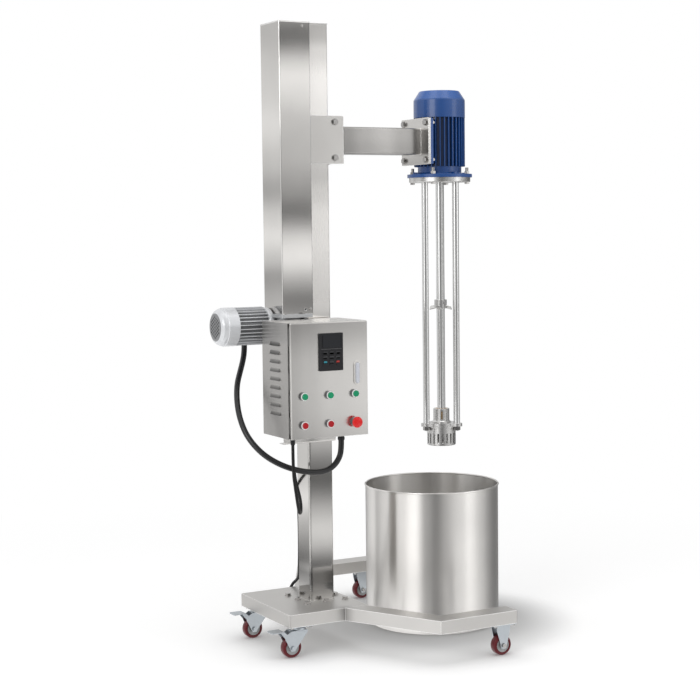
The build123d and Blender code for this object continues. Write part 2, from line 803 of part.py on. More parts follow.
def cable_glands():
    """Glands of the conduit's two ends and of the power lead."""
    conduit, lead = box_gland_places()
    return [placed(gland(10, conduit_radius), (conduit[0], conduit[1], box_bottom), (0, 0, -1)),
            placed(gland(8, lead_radius), (lead[0], lead[1], box_bottom), (0, 0, -1)),
            placed(gland(10, conduit_radius), (conduit_start_x, conduit_start_y, lift_gland_z), (0, 0, -1))]


def cord_tube(points, radius, name):
    """Round cord along straight runs, given from the column axis, joined by large tangent arcs."""
    route = [Vector(column_x + x, y, z) for x, y, z in points]
    radii = []
    for before, here, after in zip(route, route[1:], route[2:]):
        turn = math.radians((here - before).get_angle(after - here))
        shorter = min((here - before).length, (after - here).length)
        radii.append(0.45 * shorter / math.tan(turn / 2))
    path = FilletPolyline(*route, radius=radii)
    section = Plane(origin=path @ 0, z_dir=path % 0) * Circle(radius)
    tube = sweep(section, path=path)
    share = tube.volume / (math.pi * radius ** 2 * path.length)
    print(name, "length", round(path.length), "radii", [round(r) for r in radii], "volume share", round(share, 4))
    return tube


def lift_conduit():
    """Flexible conduit from the lift motor to the control box."""
    start = (-conduit_start[0], conduit_start[1])
    points = [(*start, lift_gland_z - gland_length), (*start, 1103), (-237, 111, 1069), (-262, 84, 1030),
              (-293, 48, 985), (-316, 0, 926), (-327, -50, 866), (-320, -98, 806), (-284, -140, 750),
              (-232, -172, 712), (-172, -192, 688), (-115, -201, 677), (-64, -203, 677), (-31, -203, 690),
              (-6, -202, 715), (7, -200, 747), (7, -200, box_bottom - gland_length)]
    return cord_tube(points, conduit_radius, "lift_conduit")


def power_lead():
    """Power lead from the box, in a hanging loop, behind the column and down to the floor."""
    points = [(-204, -228, box_bottom - gland_length), (-204, -228, 733), (-202, -228, 672), (-195, -230, 615),
              (-187, -228, 566), (-168, -203, 531), (-144, -168, 531), (-131, -140, 564), (-136, -131, 602),
              (-142, -123, 636), (-138, -107, 662), (-125, -76, 676), (-106, -36, 673), (-87, 4, 658),
              (-71, 36, 628), (-54, 61, 588), (-35, 74, 530), (-30, 77, 450), (-29, 80, 320),
              (-14, 115, 262), (8, 160, 222), (20, 198, 194), (12, 222, 176), (4, 236, 148), (3, 243, 102),
              (4, 250, 54), (lead_end_x, 270, 19), (lead_end_x, 300, lead_radius),
              (lead_end_x, lead_end_y, lead_radius)]
    return cord_tube(points, lead_radius, "power_lead")


def power_lead_coil():
    """Neat coil of the spare lead, two turns wide and two high, with its two ends."""
    turn = coil_mean_radius + lead_radius
    centre_x = column_x + lead_end_x + turn
    centre_y = lead_end_y + coil_setback
    inner = coil_mean_radius - 2 * lead_radius
    outer = coil_mean_radius + 2 * lead_radius
    high = 4 * lead_radius
    ring = turned([(inner + 3, 0), (outer - 3, 0), (outer, 3), (outer, high - 3), (outer - 3, high),
                   (inner + 3, high), (inner, high - 3), (inner, 3)])
    ring = Pos(centre_x, centre_y, 0) * ring
    for x, y, z in ((centre_x - turn, lead_end_y, lead_radius),
                    (centre_x + turn, lead_end_y - plug_setback, 3 * lead_radius)):
        ring += bar((x, y, z), (x, centre_y, z), lead_radius)
    return ring


def power_plug():
    """Rubber plug of the power lead with its tapered sleeve and pins."""
    x = column_x + lead_end_x + 2 * (coil_mean_radius + lead_radius)
    r = 3 * lead_radius
    body = turned([(0, 0), (lead_radius + 1, 0), (lead_radius + 2.5, 30), (11, 32), (r, 44), (r, 78),
                   (r - 2, 82), (0, 82)])
    for side in (-1, 1):
        body += bar((side * 9.5, 0, 81), (side * 9.5, 0, 101), 2.4)
    return placed(body, (x, lead_end_y - plug_setback, r), (0, -1, 0))


def caster_wheel():
    """Wheel with a rounded tread about the Y axis at the origin."""
    half = wheel_width / 2
    hub = half + 2
    r = wheel_radius
    body = turned([(axle_radius + running, -hub), (12, -hub), (12, -half + 4), (26, -half + 4), (28, -half),
                   (r - 5, -half), (r - 1.5, -half + 3), (r, -half + 7), (r, half - 7), (r - 1.5, half - 3),
                   (r - 5, half), (28, half), (26, half - 4), (12, half - 4), (12, hub),
                   (axle_radius + running, hub)])
    return Rot(90, 0, 0) * body


def swivel_fork():
    """Swivel fork about its own swivel axis at the origin, trailing towards -X, with its axle bolt."""
    neck = base_underside - caster_plate[2]
    top = neck - 14
    axle = (-swivel_offset, wheel_radius)
    arm = 12
    outline = make_face(Plane.XZ * Polyline((27, top), (27, top - 8), (axle[0] + arm, axle[1] - 4),
                                            (axle[0] + arm - 4, axle[1] - arm), (axle[0] - arm + 4, axle[1] - arm),
                                            (axle[0] - arm, axle[1] - 4), (pedal_pivot[0] - 8, pedal_pivot[1] - 6),
                                            (pedal_pivot[0] - 8, pedal_pivot[1] + 6), (-38, top), close=True))
    body = Part()
    for side in (-1, 1):
        cheek = extrude(outline, fork_sheet / 2, both=True)
        body += Pos(0, side * (fork_gap + fork_sheet / 2), 0) * cheek
    half = fork_gap + fork_sheet
    body += block(-38, 27, -half, half, top - 3, top)
    body += turned([(0, top - 3), (22, top - 3), (26, top + 3), (26, top + 9), (20, neck - easy), (0, neck - easy)])
    body -= bar((axle[0], -half - 1, axle[1]), (axle[0], half + 1, axle[1]), axle_radius + running)
    body -= bar((pedal_pivot[0], -half - 1, pedal_pivot[1]), (pedal_pivot[0], half + 1, pedal_pivot[1]),
                pedal_pin + running)
    return [body, axle_bolt(axle[0], axle[1], half)]


def axle_bolt(x, z, half):
    """Axle bolt along Y with its head and nut on the fork's cheeks."""
    piece = bar((x, -half, z), (x, half, z), axle_radius)
    piece += placed(hexagon(15, 5.5), (x, -half, z), (0, -1, 0))
    return piece + placed(hexagon(15, 7), (x, half, z), (0, 1, 0))


def brake_pedal():
    """Brake pedal of a swivel caster, on its pin through the fork."""
    half = fork_gap + fork_sheet
    px, pz = pedal_pivot
    pad_top = 103
    inner_x = px - 14
    body = block(-pedal_reach, inner_x, -half - 4, half + 4, pad_top - 3, pad_top)
    body = fillet(body.edges().filter_by(Axis.Z).sort_by(Axis.X)[:2], 9)
    for side in (-1, 1):
        arm = make_face(Plane.XZ * Polyline((px - 7, pz - 5), (px + 5, pz - 7), (px + 7, pz + 4),
                                            (inner_x, pad_top), (inner_x - 16, pad_top), close=True))
        y = side * (half + easy + fork_sheet / 2)
        body += Pos(0, y, 0) * extrude(arm, fork_sheet / 2, both=True)
    end = half + easy + fork_sheet
    return body + bar((px, -end, pz), (px, end, pz), pedal_pin)


def fixed_fork():
    """Rigid caster fork about the origin with its top plate."""
    neck = base_underside
    top = neck - caster_plate[2]
    arm = 12
    outline = make_face(Plane.XZ * Polyline((29, top), (26, top - 26), (arm, wheel_radius - 4),
                                            (arm - 4, wheel_radius - arm), (-arm + 4, wheel_radius - arm),
                                            (-arm, wheel_radius - 4), (-26, top - 26), (-29, top), close=True))
    body = block(-caster_plate[0] / 2, caster_plate[0] / 2, -caster_plate[1] / 2, caster_plate[1] / 2, top, neck)
    body = fillet(body.edges().filter_by(Axis.Z), 5)
    half = fork_gap + fork_sheet
    for side in (-1, 1):
        body += Pos(0, side * (fork_gap + fork_sheet / 2), 0) * extrude(outline, fork_sheet / 2, both=True)
    body -= bar((0, -half - 1, wheel_radius), (0, half + 1, wheel_radius), axle_radius + running)
    return body


def swivel_caster_plates():
    """Top plates with the upper race of the two swivel casters."""
    plates = []
    for side in (-1, 1):
        x = column_x + swivel_x
        y = side * swivel_y
        z = base_underside
        body = block(x - caster_plate[0] / 2, x + caster_plate[0] / 2, y - caster_plate[1] / 2,
                     y + caster_plate[1] / 2, z - caster_plate[2], z)
        plates.append(fillet(body.edges().filter_by(Axis.Z), 5))
    return plates


def caster_bolts():
    """Bolts under the corners of all four caster plates."""
    pieces = []
    places = [(column_x + swivel_x, swivel_y), (column_x + fixed_x, leg_outer_y - leg_width / 2)]
    for cx, cy in places:
        for side in (-1, 1):
            for dx in (-38, 38):
                for dy in (-25, 25):
                    point = (cx + dx, side * cy + dy, base_underside - caster_plate[2])
                    pieces.append(placed(hexagon(13, 5), point, (0, 0, -1)))
    return pieces


def carriage_cheeks():
    """Front and rear cheek plates of the carriage."""
    cheeks = []
    x0 = column_x - cheek_left
    x1 = column_x + cheek_right
    z0 = carriage_level - cheek_height / 2
    z1 = carriage_level + cheek_height / 2
    for side in (-1, 1):
        body = block(x0, x1, side * cheek_inner, side * cheek_outer, z0, z1)
        body = fillet(body.edges().filter_by(Axis.Y), 3)
        for z in roller_levels:
            body -= bar((roller_x, side * (cheek_inner - 1), z), (roller_x, side * (cheek_outer + 1), z),
                        roller_bolt_size / 2 + running)
        cheeks.append(body)
    return cheeks


def guide_roller():
    """Guide roller about the Y axis at the origin."""
    half = cheek_inner - 1
    r = roller_radius
    bore = roller_bolt_size / 2 + running
    body = turned([(bore, -half), (13, -half), (13, -half + 2), (r - 2, -half + 2), (r, -half + 4),
                   (r, half - 4), (r - 2, half - 2), (13, half - 2), (13, half), (bore, half)])
    return Rot(90, 0, 0) * body


def lift_nut_block():
    """Nut block between the cheeks; its right face slides on the column."""
    x0 = column_x - cheek_left + 6
    x1 = column_x - column_size / 2 - easy
    z0 = carriage_level - nut_height / 2
    body = block(x0, x1, -cheek_inner, cheek_inner, z0, z0 + nut_height)
    body = chamfer(body.edges().filter_by(Axis.Y), 6)
    collar = bar((screw_x, 0, z0 - 18), (screw_x, 0, z0 + 1), 26)
    body += collar
    return body - bar((screw_x, 0, z0 - 20), (screw_x, 0, z0 + nut_height + 1), screw_radius + running)


def motor_bolt_places():
    """Bolts of the motor's feet, as (y, z)."""
    return [(y, carriage_level + z) for y in (-motor_bolt_across / 2, motor_bolt_across / 2)
            for z in (-motor_bolt_along / 2, motor_bolt_along / 2)]


def arm_weldment():
    """Arm: end plate between the cheeks, rectangular tube and motor plate."""
    x0 = column_x + cheek_right - end_plate_thickness
    x1 = column_x + cheek_right
    half_cheek = cheek_height / 2
    end_plate = block(x0, x1, -cheek_inner, cheek_inner, carriage_level - half_cheek + 3,
                      carriage_level + half_cheek - 3)
    tube = block(x1 - 1, arm_end_x + 1, -arm_depth / 2, arm_depth / 2, carriage_level - arm_height / 2,
                 carriage_level + arm_height / 2)
    tube = fillet(tube.edges().filter_by(Axis.X), arm_corner)
    deep = arm_depth / 2 - arm_wall
    tall = arm_height / 2 - arm_wall
    tube -= block(x1, arm_end_x, -deep, deep, carriage_level - tall, carriage_level + tall)
    half_plate = motor_plate_height / 2
    motor_plate = block(arm_end_x, arm_end_x + motor_plate_thickness, -motor_plate_width / 2,
                        motor_plate_width / 2, carriage_level - half_plate, carriage_level + half_plate)
    motor_plate = fillet(motor_plate.edges().filter_by(Axis.X), 4)
    for y, z in motor_bolt_places():
        motor_plate -= bar((arm_end_x - 1, y, z), (-motor_foot_height + 1, y, z), motor_bolt_size / 2 + bolt_gap)
    return end_plate + tube + motor_plate


def flange_bolt_places():
    """Flange studs of the motor on their pitch circle, as (x, y)."""
    r = flange_pitch_circle / 2
    return [(r * math.cos(math.radians(a)), r * math.sin(math.radians(a))) for a in (45, 135, 225, 315)]


def main_motor_body():
    """Finned motor casing with its two feet."""
    z0, z1 = motor_body_bottom, motor_body_top
    body = Pos(0, 0, z0) * finned_ring(motor_core_radius, motor_fin_radius, motor_fin_count,
                                       motor_fin_thickness, z1 - z0)
    foot_x = -motor_foot_height
    low = carriage_level - motor_bolt_along / 2 - 16
    high = carriage_level + motor_bolt_along / 2 + 16
    for side in (-1, 1):
        foot = block(foot_x, foot_x + 12, side * 58, side * 98, low, high)
        web = block(foot_x + 6, -40, side * 58, side * 66, low + 4, high - 4)
        body += foot + web
    body -= block(foot_x - 40, foot_x, -120, 120, z0 - 1, z1 + 1)
    body -= bar((0, 0, z0 - 1), (0, 0, z1 + 1), motor_shaft_radius + running)
    for y, z in motor_bolt_places():
        body -= bar((foot_x - 1, y, z), (foot_x + 13, y, z), motor_bolt_size / 2 + bolt_gap)
    return body


def main_motor_fan_cowl():
    """Fan cowl: cylinder, conical shoulder and a flat top with an air grille."""
    z0 = motor_body_top
    rest = 14
    outer = turned([(0, z0), (cowl_radius, z0), (cowl_radius, cowl_shoulder - 4), (cowl_radius - 1.5, cowl_shoulder),
                    (cowl_top_radius + 2, cowl_top - 2), (cowl_top_radius, cowl_top), (0, cowl_top)])
    w = cowl_wall
    inner = turned([(0, z0 + rest), (cowl_radius - w, z0 + rest), (cowl_radius - w, cowl_shoulder - 4),
                    (cowl_radius - w - 2, cowl_shoulder), (cowl_top_radius - w, cowl_top - w), (0, cowl_top - w)])
    holes = extrude(Sketch() + grille_cells(4, 15, 11), 10)
    body = outer - inner - Pos(0, 0, cowl_top - 6) * holes
    return body - bar((0, 0, z0 - 1), (0, 0, z0 + rest + 1), motor_shaft_radius + running)


def main_motor_flange():
    """Drive-end shield: neck and flange, with ribs to the bolts."""
    z0 = flange_underside
    z1 = motor_body_bottom
    body = turned([(0, z0), (flange_radius, z0), (flange_radius, z0 + flange_thickness - 1),
                   (flange_radius - 1, z0 + flange_thickness), (neck_radius + 6, z0 + flange_thickness),
                   (neck_radius, z0 + flange_thickness + 6), (neck_radius, z1), (0, z1)])
    for n in range(4):
        rib = Rot(0, 0, 90 * n) * block(neck_radius - 4, flange_radius - 8, -5, 5, z0 + 4, z0 + flange_thickness + 7)
        body += rib
    for x, y in flange_bolt_places():
        body -= bar((x, y, z0 - 1), (x, y, z0 + 40), 13) & block(x - 20, x + 20, y - 20, y + 20,
                                                                z0 + flange_thickness, z0 + 40)
        body -= bar((x, y, z0 - 1), (x, y, z1), flange_bolt_size / 2 + bolt_gap)
    return body - bar((0, 0, z0 - 1), (0, 0, z1 + 1), motor_shaft_radius + running)


def main_motor_terminal_box():
    """Terminal box on the rear side of the motor."""
    body = block(-45, 45, 92, 142, carriage_level - 60, carriage_level + 50)
    body = fillet(body.edges().filter_by(Axis.Y), 8)
    lid = block(-48, 48, 142, 152, carriage_level - 63, carriage_level + 53)
    lid = fillet(lid.edges().filter_by(Axis.Y), 10)
    plug = bar((0, 120, carriage_level - 60), (0, 120, carriage_level - 72), 11)
    casing = bar((0, 0, motor_body_bottom), (0, 0, motor_body_top), motor_fin_radius + easy)
    return body + lid + plug - casing


def head_adapter_plate():
    """Round plate under the motor flange that carries the tie rods."""
    z0 = flange_underside - adapter_thickness
    z1 = flange_underside
    body = turned([(shaft_radius + 2, z0), (adapter_radius + 6 - 2, z0), (adapter_radius + 6, z0 + 2),
                   (adapter_radius + 6, z1), (shaft_radius + 2, z1)])
    for x, y in flange_bolt_places():
        body -= bar((x, y, z0 - 1), (x, y, z1 + 1), flange_bolt_size / 2 + bolt_gap)
    for x, y in rod_places():
        body -= bar((x, y, z0 - 1), (x, y, z1 - 6), rod_radius)
    return body


def rod_places():
    """Axes of the three tie rods."""
    return [(rod_circle * math.cos(math.radians(a)), rod_circle * math.sin(math.radians(a))) for a in rod_angles]


def tie_rods():
    """Three rods that hang the lower plate under the adapter plate."""
    z0 = lower_plate_top - lower_plate_thickness
    rods = []
    for x, y in rod_places():
        rod = bar((x, y, lower_plate_top), (x, y, flange_underside - 6), rod_radius)
        end = bar((x, y, z0 - rod_nut[1] - 3), (x, y, lower_plate_top + 1), rod_end_radius)
        rods.append(rod + end)
    return rods


def head_lower_plate():
    """Three-lobed plate with the bearing tube on top."""
    z0 = lower_plate_top - lower_plate_thickness
    outline = Circle(lower_plate_core)
    for angle in rod_angles:
        lobe = Pos(rod_circle, 0) * Circle(lobe_radius) + Pos(rod_circle / 2, 0) * Rectangle(
            rod_circle, 2 * lobe_radius)
        outline += Rot(0, 0, angle) * lobe
    body = plate(outline, z0, lower_plate_top)
    body += turned([(0, lower_plate_top - 1), (bearing_tube_radius + 5, lower_plate_top - 1),
                    (bearing_tube_radius + 5, lower_plate_top + 4), (bearing_tube_radius, lower_plate_top + 9),
                    (bearing_tube_radius, bearing_tube_top - 1.5), (bearing_tube_radius - 1.5, bearing_tube_top),
                    (0, bearing_tube_top)])
    body -= bar((0, 0, z0 - 1), (0, 0, bearing_tube_top + 1), bush_radius)
    slit = block(-3, 3, -bearing_tube_radius - 1, -bush_radius + 1, lower_plate_top + 14, bearing_tube_top - 10)
    body -= Rot(0, 0, -28) * slit
    for x, y in rod_places():
        body -= bar((x, y, z0 - 1), (x, y, lower_plate_top + 1), rod_end_radius + running)
    return body


def shaft_bush():
    """Bush in the bearing tube in which the shaft runs."""
    z0 = lower_plate_top - lower_plate_thickness
    return turned([(shaft_radius + running, z0), (bush_radius, z0), (bush_radius, bearing_tube_top),
                   (shaft_radius + running, bearing_tube_top)])


def stator_cage():
    """Slotted stator: mounting ring, slotted wall and bottom ring."""
    z1 = stator_top
    flange = 5
    body = turned([(stator_bore, stator_bottom + 5), (stator_bore - 12, stator_bottom + 5),
                   (stator_bore - 12, stator_bottom), (stator_radius - 1.5, stator_bottom),
                   (stator_radius, stator_bottom + 1.5), (stator_radius, z1), (stator_bore, z1)])
    body += turned([(stator_bore, z1 - flange), (stator_radius + 5, z1 - flange), (stator_radius + 5, z1),
                    (stator_bore, z1)]) - nut_reliefs(z1)
    middle = (stator_bore + stator_radius) / 2
    cutter = block(middle - stator_wall, middle + stator_wall, -slot_width / 2, slot_width / 2, slot_low, slot_high)
    for n in range(stator_slots):
        body -= Rot(0, 0, 360 * (n + 0.5) / stator_slots) * cutter
    return body


def nut_reliefs(z1):
    """Space for the rod nuts beside the stator's mounting ring."""
    reliefs = Part()
    for x, y in rod_places():
        reliefs += bar((x, y, z1 - 30), (x, y, z1 + 1), rod_nut[0] / 2 + 3.5)
    return reliefs


def mixer_shaft():
    """Shaft from the motor's fan down to the rotor."""
    top = cowl_top - 30
    swap = flange_underside - 1
    return turned([(0, rotor_top()), (shaft_radius, rotor_top()), (shaft_radius, swap),
                   (motor_shaft_radius, swap), (motor_shaft_radius, top), (0, top)])


def rotor_top():
    """Upper face of the rotor hub."""
    return stator_top - 10


def rotor_head():
    """Rotor: hub, curved blades close to the stator's bore, and a cap nut below."""
    tip = stator_bore - rotor_gap
    z0 = stator_bottom + 6.5
    z1 = rotor_top()
    body = turned([(0, z0), (16, z0), (20, z0 + 8), (20, z1), (0, z1)])
    body += turned([(0, z1 - 6), (tip - 6, z1 - 6), (tip - 6, z1), (0, z1)])
    ring = turned([(0, z0), (tip, z0), (tip, z1), (0, z1)])
    for n in range(rotor_blades):
        arc = Pos(18, 26) * (Circle(30) - Circle(24.5))
        blade = extrude(arc & Pos(35, 0) * Rectangle(70, 60), z1 - z0 - 1)
        body += (Rot(0, 0, 360 * n / rotor_blades) * (Pos(0, 0, z0) * blade)) & ring
    body += turned([(0, z0 - 11), (5, z0 - 10), (9, z0 - 6), (10, z0), (0, z0)])
    return body


def axial_propeller():
    """Small clamped propeller half way down the shaft."""
    z0 = propeller_level - propeller_hub_height / 2
    z1 = z0 + propeller_hub_height
    bore = shaft_radius
    body = turned([(bore, z0), (propeller_hub_radius - 1, z0), (propeller_hub_radius, z0 + 1),
                   (propeller_hub_radius, z1 - 1), (propeller_hub_radius - 1, z1), (bore, z1)])
    for n in range(propeller_blades):
        blade = Pos((propeller_radius + bore) / 2 + 3, 0, z0 + 4) * Rot(-38, 16, 0) * Box(
            propeller_radius - bore, 20, 3)
        body += Rot(0, 0, 45 + 360 * n / propeller_blades) * blade
    body -= bar((0, 0, z0 - 20), (0, 0, z1 + 20), bore)
    return body - bar((0, -bore, propeller_level + 4), (0, -propeller_hub_radius - 1, propeller_level + 4), 3.5)


def motor_cooling_fan():
    """Cooling fan on the motor shaft inside the cowl."""
    z0 = motor_body_top + 22
    z1 = cowl_shoulder - 12
    r = motor_shaft_radius
    body = turned([(r, z0), (82, z0), (82, z0 + 3), (28, z0 + 6), (24, z1), (r, z1)])
    for n in range(8):
        body += Rot(0, 0, 45 * n) * block(20, 86, -1.5, 1.5, z0 + 1, z1 - 4)
    return body


def mixing_tank():
    """Open round tank with a flat floor, a bend above it and a rolled rim."""
    r = tank_radius
    mid = tank_height - rim_radius
    body = turned([(0, 0), (r, 0), (r, mid), (r - tank_wall, mid), (r - tank_wall, tank_floor), (0, tank_floor)])
    bends = body.edges().filter_by(GeomType.CIRCLE).sort_by(Axis.Z)
    body = fillet(bends[0], tank_knuckle)
    bends = body.edges().filter_by(GeomType.CIRCLE).filter_by(lambda e: abs(e.center().Z - tank_floor) < 0.01)
    body = fillet(bends.sort_by(lambda e: e.radius)[-1], tank_knuckle - tank_floor)
    bead = Plane.XZ * Pos(r, mid) * RegularPolygon(rim_radius, 10)
    return Pos(tank_x, tank_y, 0) * (body + revolve(bead, Axis.Z))


def stand_fasteners():
    """Bolts, screws and pins that stay with the stand."""
    half = column_size / 2
    pieces = [placed(bolt(foot_bolt_size, foot_thickness + base_wall), (x, y, base_top), (0, 0, 1))
              for x, y in foot_bolt_places()]
    for x, z in rail_bolt_places():
        pieces.append(placed(bolt(rail_bolt_size, box_back - half + column_wall, washer=False),
                             (x, -box_back, z), (0, -1, 0)))
    for x, z in box_bolt_places():
        pieces.append(placed(bolt(rail_bolt_size, box_sheet + rail_sheet, washer=False),
                             (x, -box_back - box_sheet, z), (0, -1, 0)))
    for y, z in gearbox_bolt_places():
        pieces.append(placed(bolt(gearbox_bolt_size, gearbox_foot_thickness + column_wall, washer=False),
                             (column_x - half - gearbox_foot_thickness, y, z), (-1, 0, 0)))
    for side in (-1, 1):
        for x in seat_bolt_x:
            pieces.append(placed(bolt(seat_bolt_size, seat_thickness, washer=False),
                                 (column_x - x, side * seat_bolt_y, cover_bottom), (0, 0, 1)))
        for across, z in ((cap_screw[0], column_top - cap_screw[1]), (foot_screw[0], cover_bottom + foot_screw[1])):
            head = turned([(0, -10), (3, -10), (3, 0), (5.5, 0), (5, 2), (3, 3.3), (0, 3.6)])
            pieces.append(placed(head, (column_x - across, side * cover_half_depth, z), (0, side, 0)))
    pieces.append(bar((hinge_x, hinge_y, box_bottom + 14), (hinge_x, hinge_y, box_top - 14), hinge_pin_radius))
    for side in (-1, 1):
        axle = axle_bolt(0, wheel_radius, fork_gap + fork_sheet)
        pieces.append(Pos(column_x + fixed_x, side * (leg_outer_y - leg_width / 2), 0) * axle)
    return pieces + caster_bolts()


def carriage_fasteners():
    """Bolts, axle bolts, studs and nuts that move with the carriage."""
    pieces = []
    for y, z in motor_bolt_places():
        piece = placed(bolt(motor_bolt_size, motor_plate_thickness + 12 + 14), (arm_end_x, y, z), (-1, 0, 0))
        nut = placed(hexagon(18, 9.5), (-motor_foot_height + 12, y, z), (1, 0, 0))
        pieces.append(piece + nut)
    for z in roller_levels:
        axle = bar((roller_x, -cheek_outer, z), (roller_x, cheek_outer, z), roller_bolt_size / 2)
        for side in (-1, 1):
            axle += placed(bolt(roller_bolt_size, 0.1), (roller_x, side * cheek_outer, z), (0, side, 0))
        pieces.append(axle)
    top = flange_underside + flange_thickness
    under = flange_underside - adapter_thickness
    for x, y in flange_bolt_places():
        stud = bar((x, y, under), (x, y, top + 24), flange_bolt_size / 2)
        stud += Pos(x, y, top) * hexagon(18, 10)
        stud += Pos(x, y, under - 7.5) * hexagon(18, 7.5)
        pieces.append(stud)
    for x, y in rod_places():
        nut = Rot(0, 0, 30) * hexagon(rod_nut[0], rod_nut[1])
        nut -= bar((0, 0, -1), (0, 0, rod_nut[1] + 1), rod_end_radius)
        pieces.append(Pos(x, y, lower_plate_top - lower_plate_thickness - rod_nut[1]) * nut)
    return pieces


def build_base():
    """Base, legs, casters and tank."""
    save("base_platform", base_platform())
    front_leg = fork_leg()
    save("fork_leg_front", front_leg)
    save("fork_leg_rear", mirrored(front_leg))
    leg_axis = leg_outer_y - leg_width / 2
    fork = fixed_fork()
    save("fixed_caster_forks", *[Pos(column_x + fixed_x, side * leg_axis, 0) * fork for side in (-1, 1)])
    save("swivel_caster_plates", *swivel_caster_plates())
    for name, side in (("front", -1), ("rear", 1)):
        swivel = Pos(column_x + swivel_x, side * swivel_y, 0)
        save(f"caster_fork_{name}", *[swivel * piece for piece in swivel_fork()])
        save(f"brake_pedal_{name}", swivel * brake_pedal())
        save(f"swivel_wheel_{name}", swivel * Pos(-swivel_offset, 0, wheel_radius) * caster_wheel())
        save(f"leg_wheel_{name}", Pos(column_x + fixed_x, side * leg_axis, wheel_radius) * caster_wheel())
    save("mixing_tank", mixing_tank())


def build_column():
    """Column, housing, lift drive and control box."""
    save("column_tube", column_tube())
    save("column_top_cap", column_top_cap())
    save("screw_cover", screw_cover())
    save("worm_gearbox", worm_gearbox())
    save("lift_screw", lift_screw())
    save("lift_motor_body", lift_motor_body())
    save("lift_motor_fan_cowl", lift_motor_fan_cowl())
    save("lift_motor_terminal_box", lift_motor_terminal_box())
    save("stand_fasteners", *stand_fasteners())


def build_control_box():
    """Control box, door and everything on the door."""
    save("control_box_shell", control_box_shell())
    save("box_mounting_rails", *mounting_rails())
    save("box_mounting_plate", box_mounting_plate())
    save("control_box_door", control_box_door(), latch_frame())
    save("drive_keypad", drive_keypad())
    save("button_collars", *button_collars())
    save("latch_lever", latch_lever())
    names = ("green_button_left", "green_button_middle", "green_button_right",
             "red_button_left", "red_button_middle")
    places = button_places()
    for name, (x, z) in zip(names, places):
        save(name, push_button(x, z))
    save("emergency_stop", emergency_stop(*places[-1]))


def build_carriage():
    """Carriage, arm, main motor and mixing head."""
    save("carriage_cheeks", *carriage_cheeks())
    save("lift_nut_block", lift_nut_block())
    for name, z in zip(("upper", "lower"), roller_levels):
        save(f"guide_roller_{name}", Pos(roller_x, 0, z) * guide_roller())
    save("arm_weldment", arm_weldment())
    save("main_motor_body", main_motor_body())
    save("main_motor_fan_cowl", main_motor_fan_cowl())
    save("main_motor_flange", main_motor_flange())
    save("main_motor_terminal_box", main_motor_terminal_box())
    save("carriage_fasteners", *carriage_fasteners())
    save("head_adapter_plate", head_adapter_plate())
    save("tie_rods", *tie_rods())
    save("head_lower_plate", head_lower_plate())
    save("shaft_bush", shaft_bush())
    save("stator_cage", stator_cage())
    save("mixer_shaft", mixer_shaft())
    save("rotor_head", rotor_head())
    save("axial_propeller", axial_propeller())
    save("motor_cooling_fan", motor_cooling_fan())


def build_cords():
    """Glands, conduit and power lead."""
    save("cable_glands", *cable_glands())
    save("lift_conduit", lift_conduit())
    save("power_lead", power_lead())
    save("power_lead_coil", power_lead_coil())
    save("power_plug", power_plug())


build_base()
build_column()
build_control_box()
build_carriage()
build_cords()
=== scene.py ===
"""Looks of a high shear mixer: materials, cords, wheels, door details, stage, light and camera."""
import bmesh
import bpy
import math
from mathutils import Matrix, Vector


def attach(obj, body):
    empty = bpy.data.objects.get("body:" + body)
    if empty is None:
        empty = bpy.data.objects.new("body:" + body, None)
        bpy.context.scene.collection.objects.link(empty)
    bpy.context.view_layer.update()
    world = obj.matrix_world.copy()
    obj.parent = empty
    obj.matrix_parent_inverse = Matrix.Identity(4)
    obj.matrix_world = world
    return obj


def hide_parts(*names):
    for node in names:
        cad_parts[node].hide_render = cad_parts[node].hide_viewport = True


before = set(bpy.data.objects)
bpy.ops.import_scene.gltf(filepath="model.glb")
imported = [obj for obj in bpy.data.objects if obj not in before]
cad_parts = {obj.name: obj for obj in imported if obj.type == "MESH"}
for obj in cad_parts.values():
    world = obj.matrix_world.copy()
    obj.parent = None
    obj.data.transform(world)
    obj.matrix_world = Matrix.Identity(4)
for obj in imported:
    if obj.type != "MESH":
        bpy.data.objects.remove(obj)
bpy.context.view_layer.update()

bl_info = {
    "name": "High Shear Mixer",
    "version": (1, 0, 0),
    "blender": (4, 5, 0),
    "location": "3D View > Sidebar > Mixer",
    "description": "Dresses the packed frame of a high shear mixer",
    "category": "Object",
}

# Places and sizes on the frame, in metres
COLUMN_X = -0.560
LEAD_DIAMETER = 0.0115
CONDUIT_DIAMETER = 0.021
WHEEL_RADIUS = 0.0375
SWIVEL_WHEEL_X, SWIVEL_WHEEL_Y = -0.752, 0.165
LEG_WHEEL_X, LEG_WHEEL_Y = -0.078, 0.525
LIFT_MOTOR_Y, LIFT_MOTOR_Z = 0.04, 1.2
FAN_X = -0.934
BOX_LEFT, BOX_TOP = -0.810, 1.226
KEYPAD_FRONT = -0.317
COLLAR_FRONT = -0.3195

GREEN_BUTTONS = ("green_button_left", "green_button_middle", "green_button_right")
RED_BUTTONS = ("red_button_left", "red_button_middle")

# The lead's coil behind the base, in millimetres from the column: (radius, height) of each lap of the lead
COIL_CENTRE = (74.75, 372)
COIL_LAPS = ((68.75, 5.75), (57.25, 5.75), (57.25, 17.25), (68.75, 17.25))
COIL_TURNS = 3.5
COIL_POINTS = 16            # control points in a turn
COIL_EARLY = 0.06           # share of a turn by which a lap starts before the full turn
COIL_CLIMB = 0.22           # share of a turn in which it reaches its radius and height

# Camera of the photograph: yaw, pitch and roll in degrees, place in metres
CAMERA_ANGLES = (28.55, 4.49, -0.66)
CAMERA_PLACE = (-3.31763, -5.35617, 1.57387)
SENSOR_WIDTH = 36

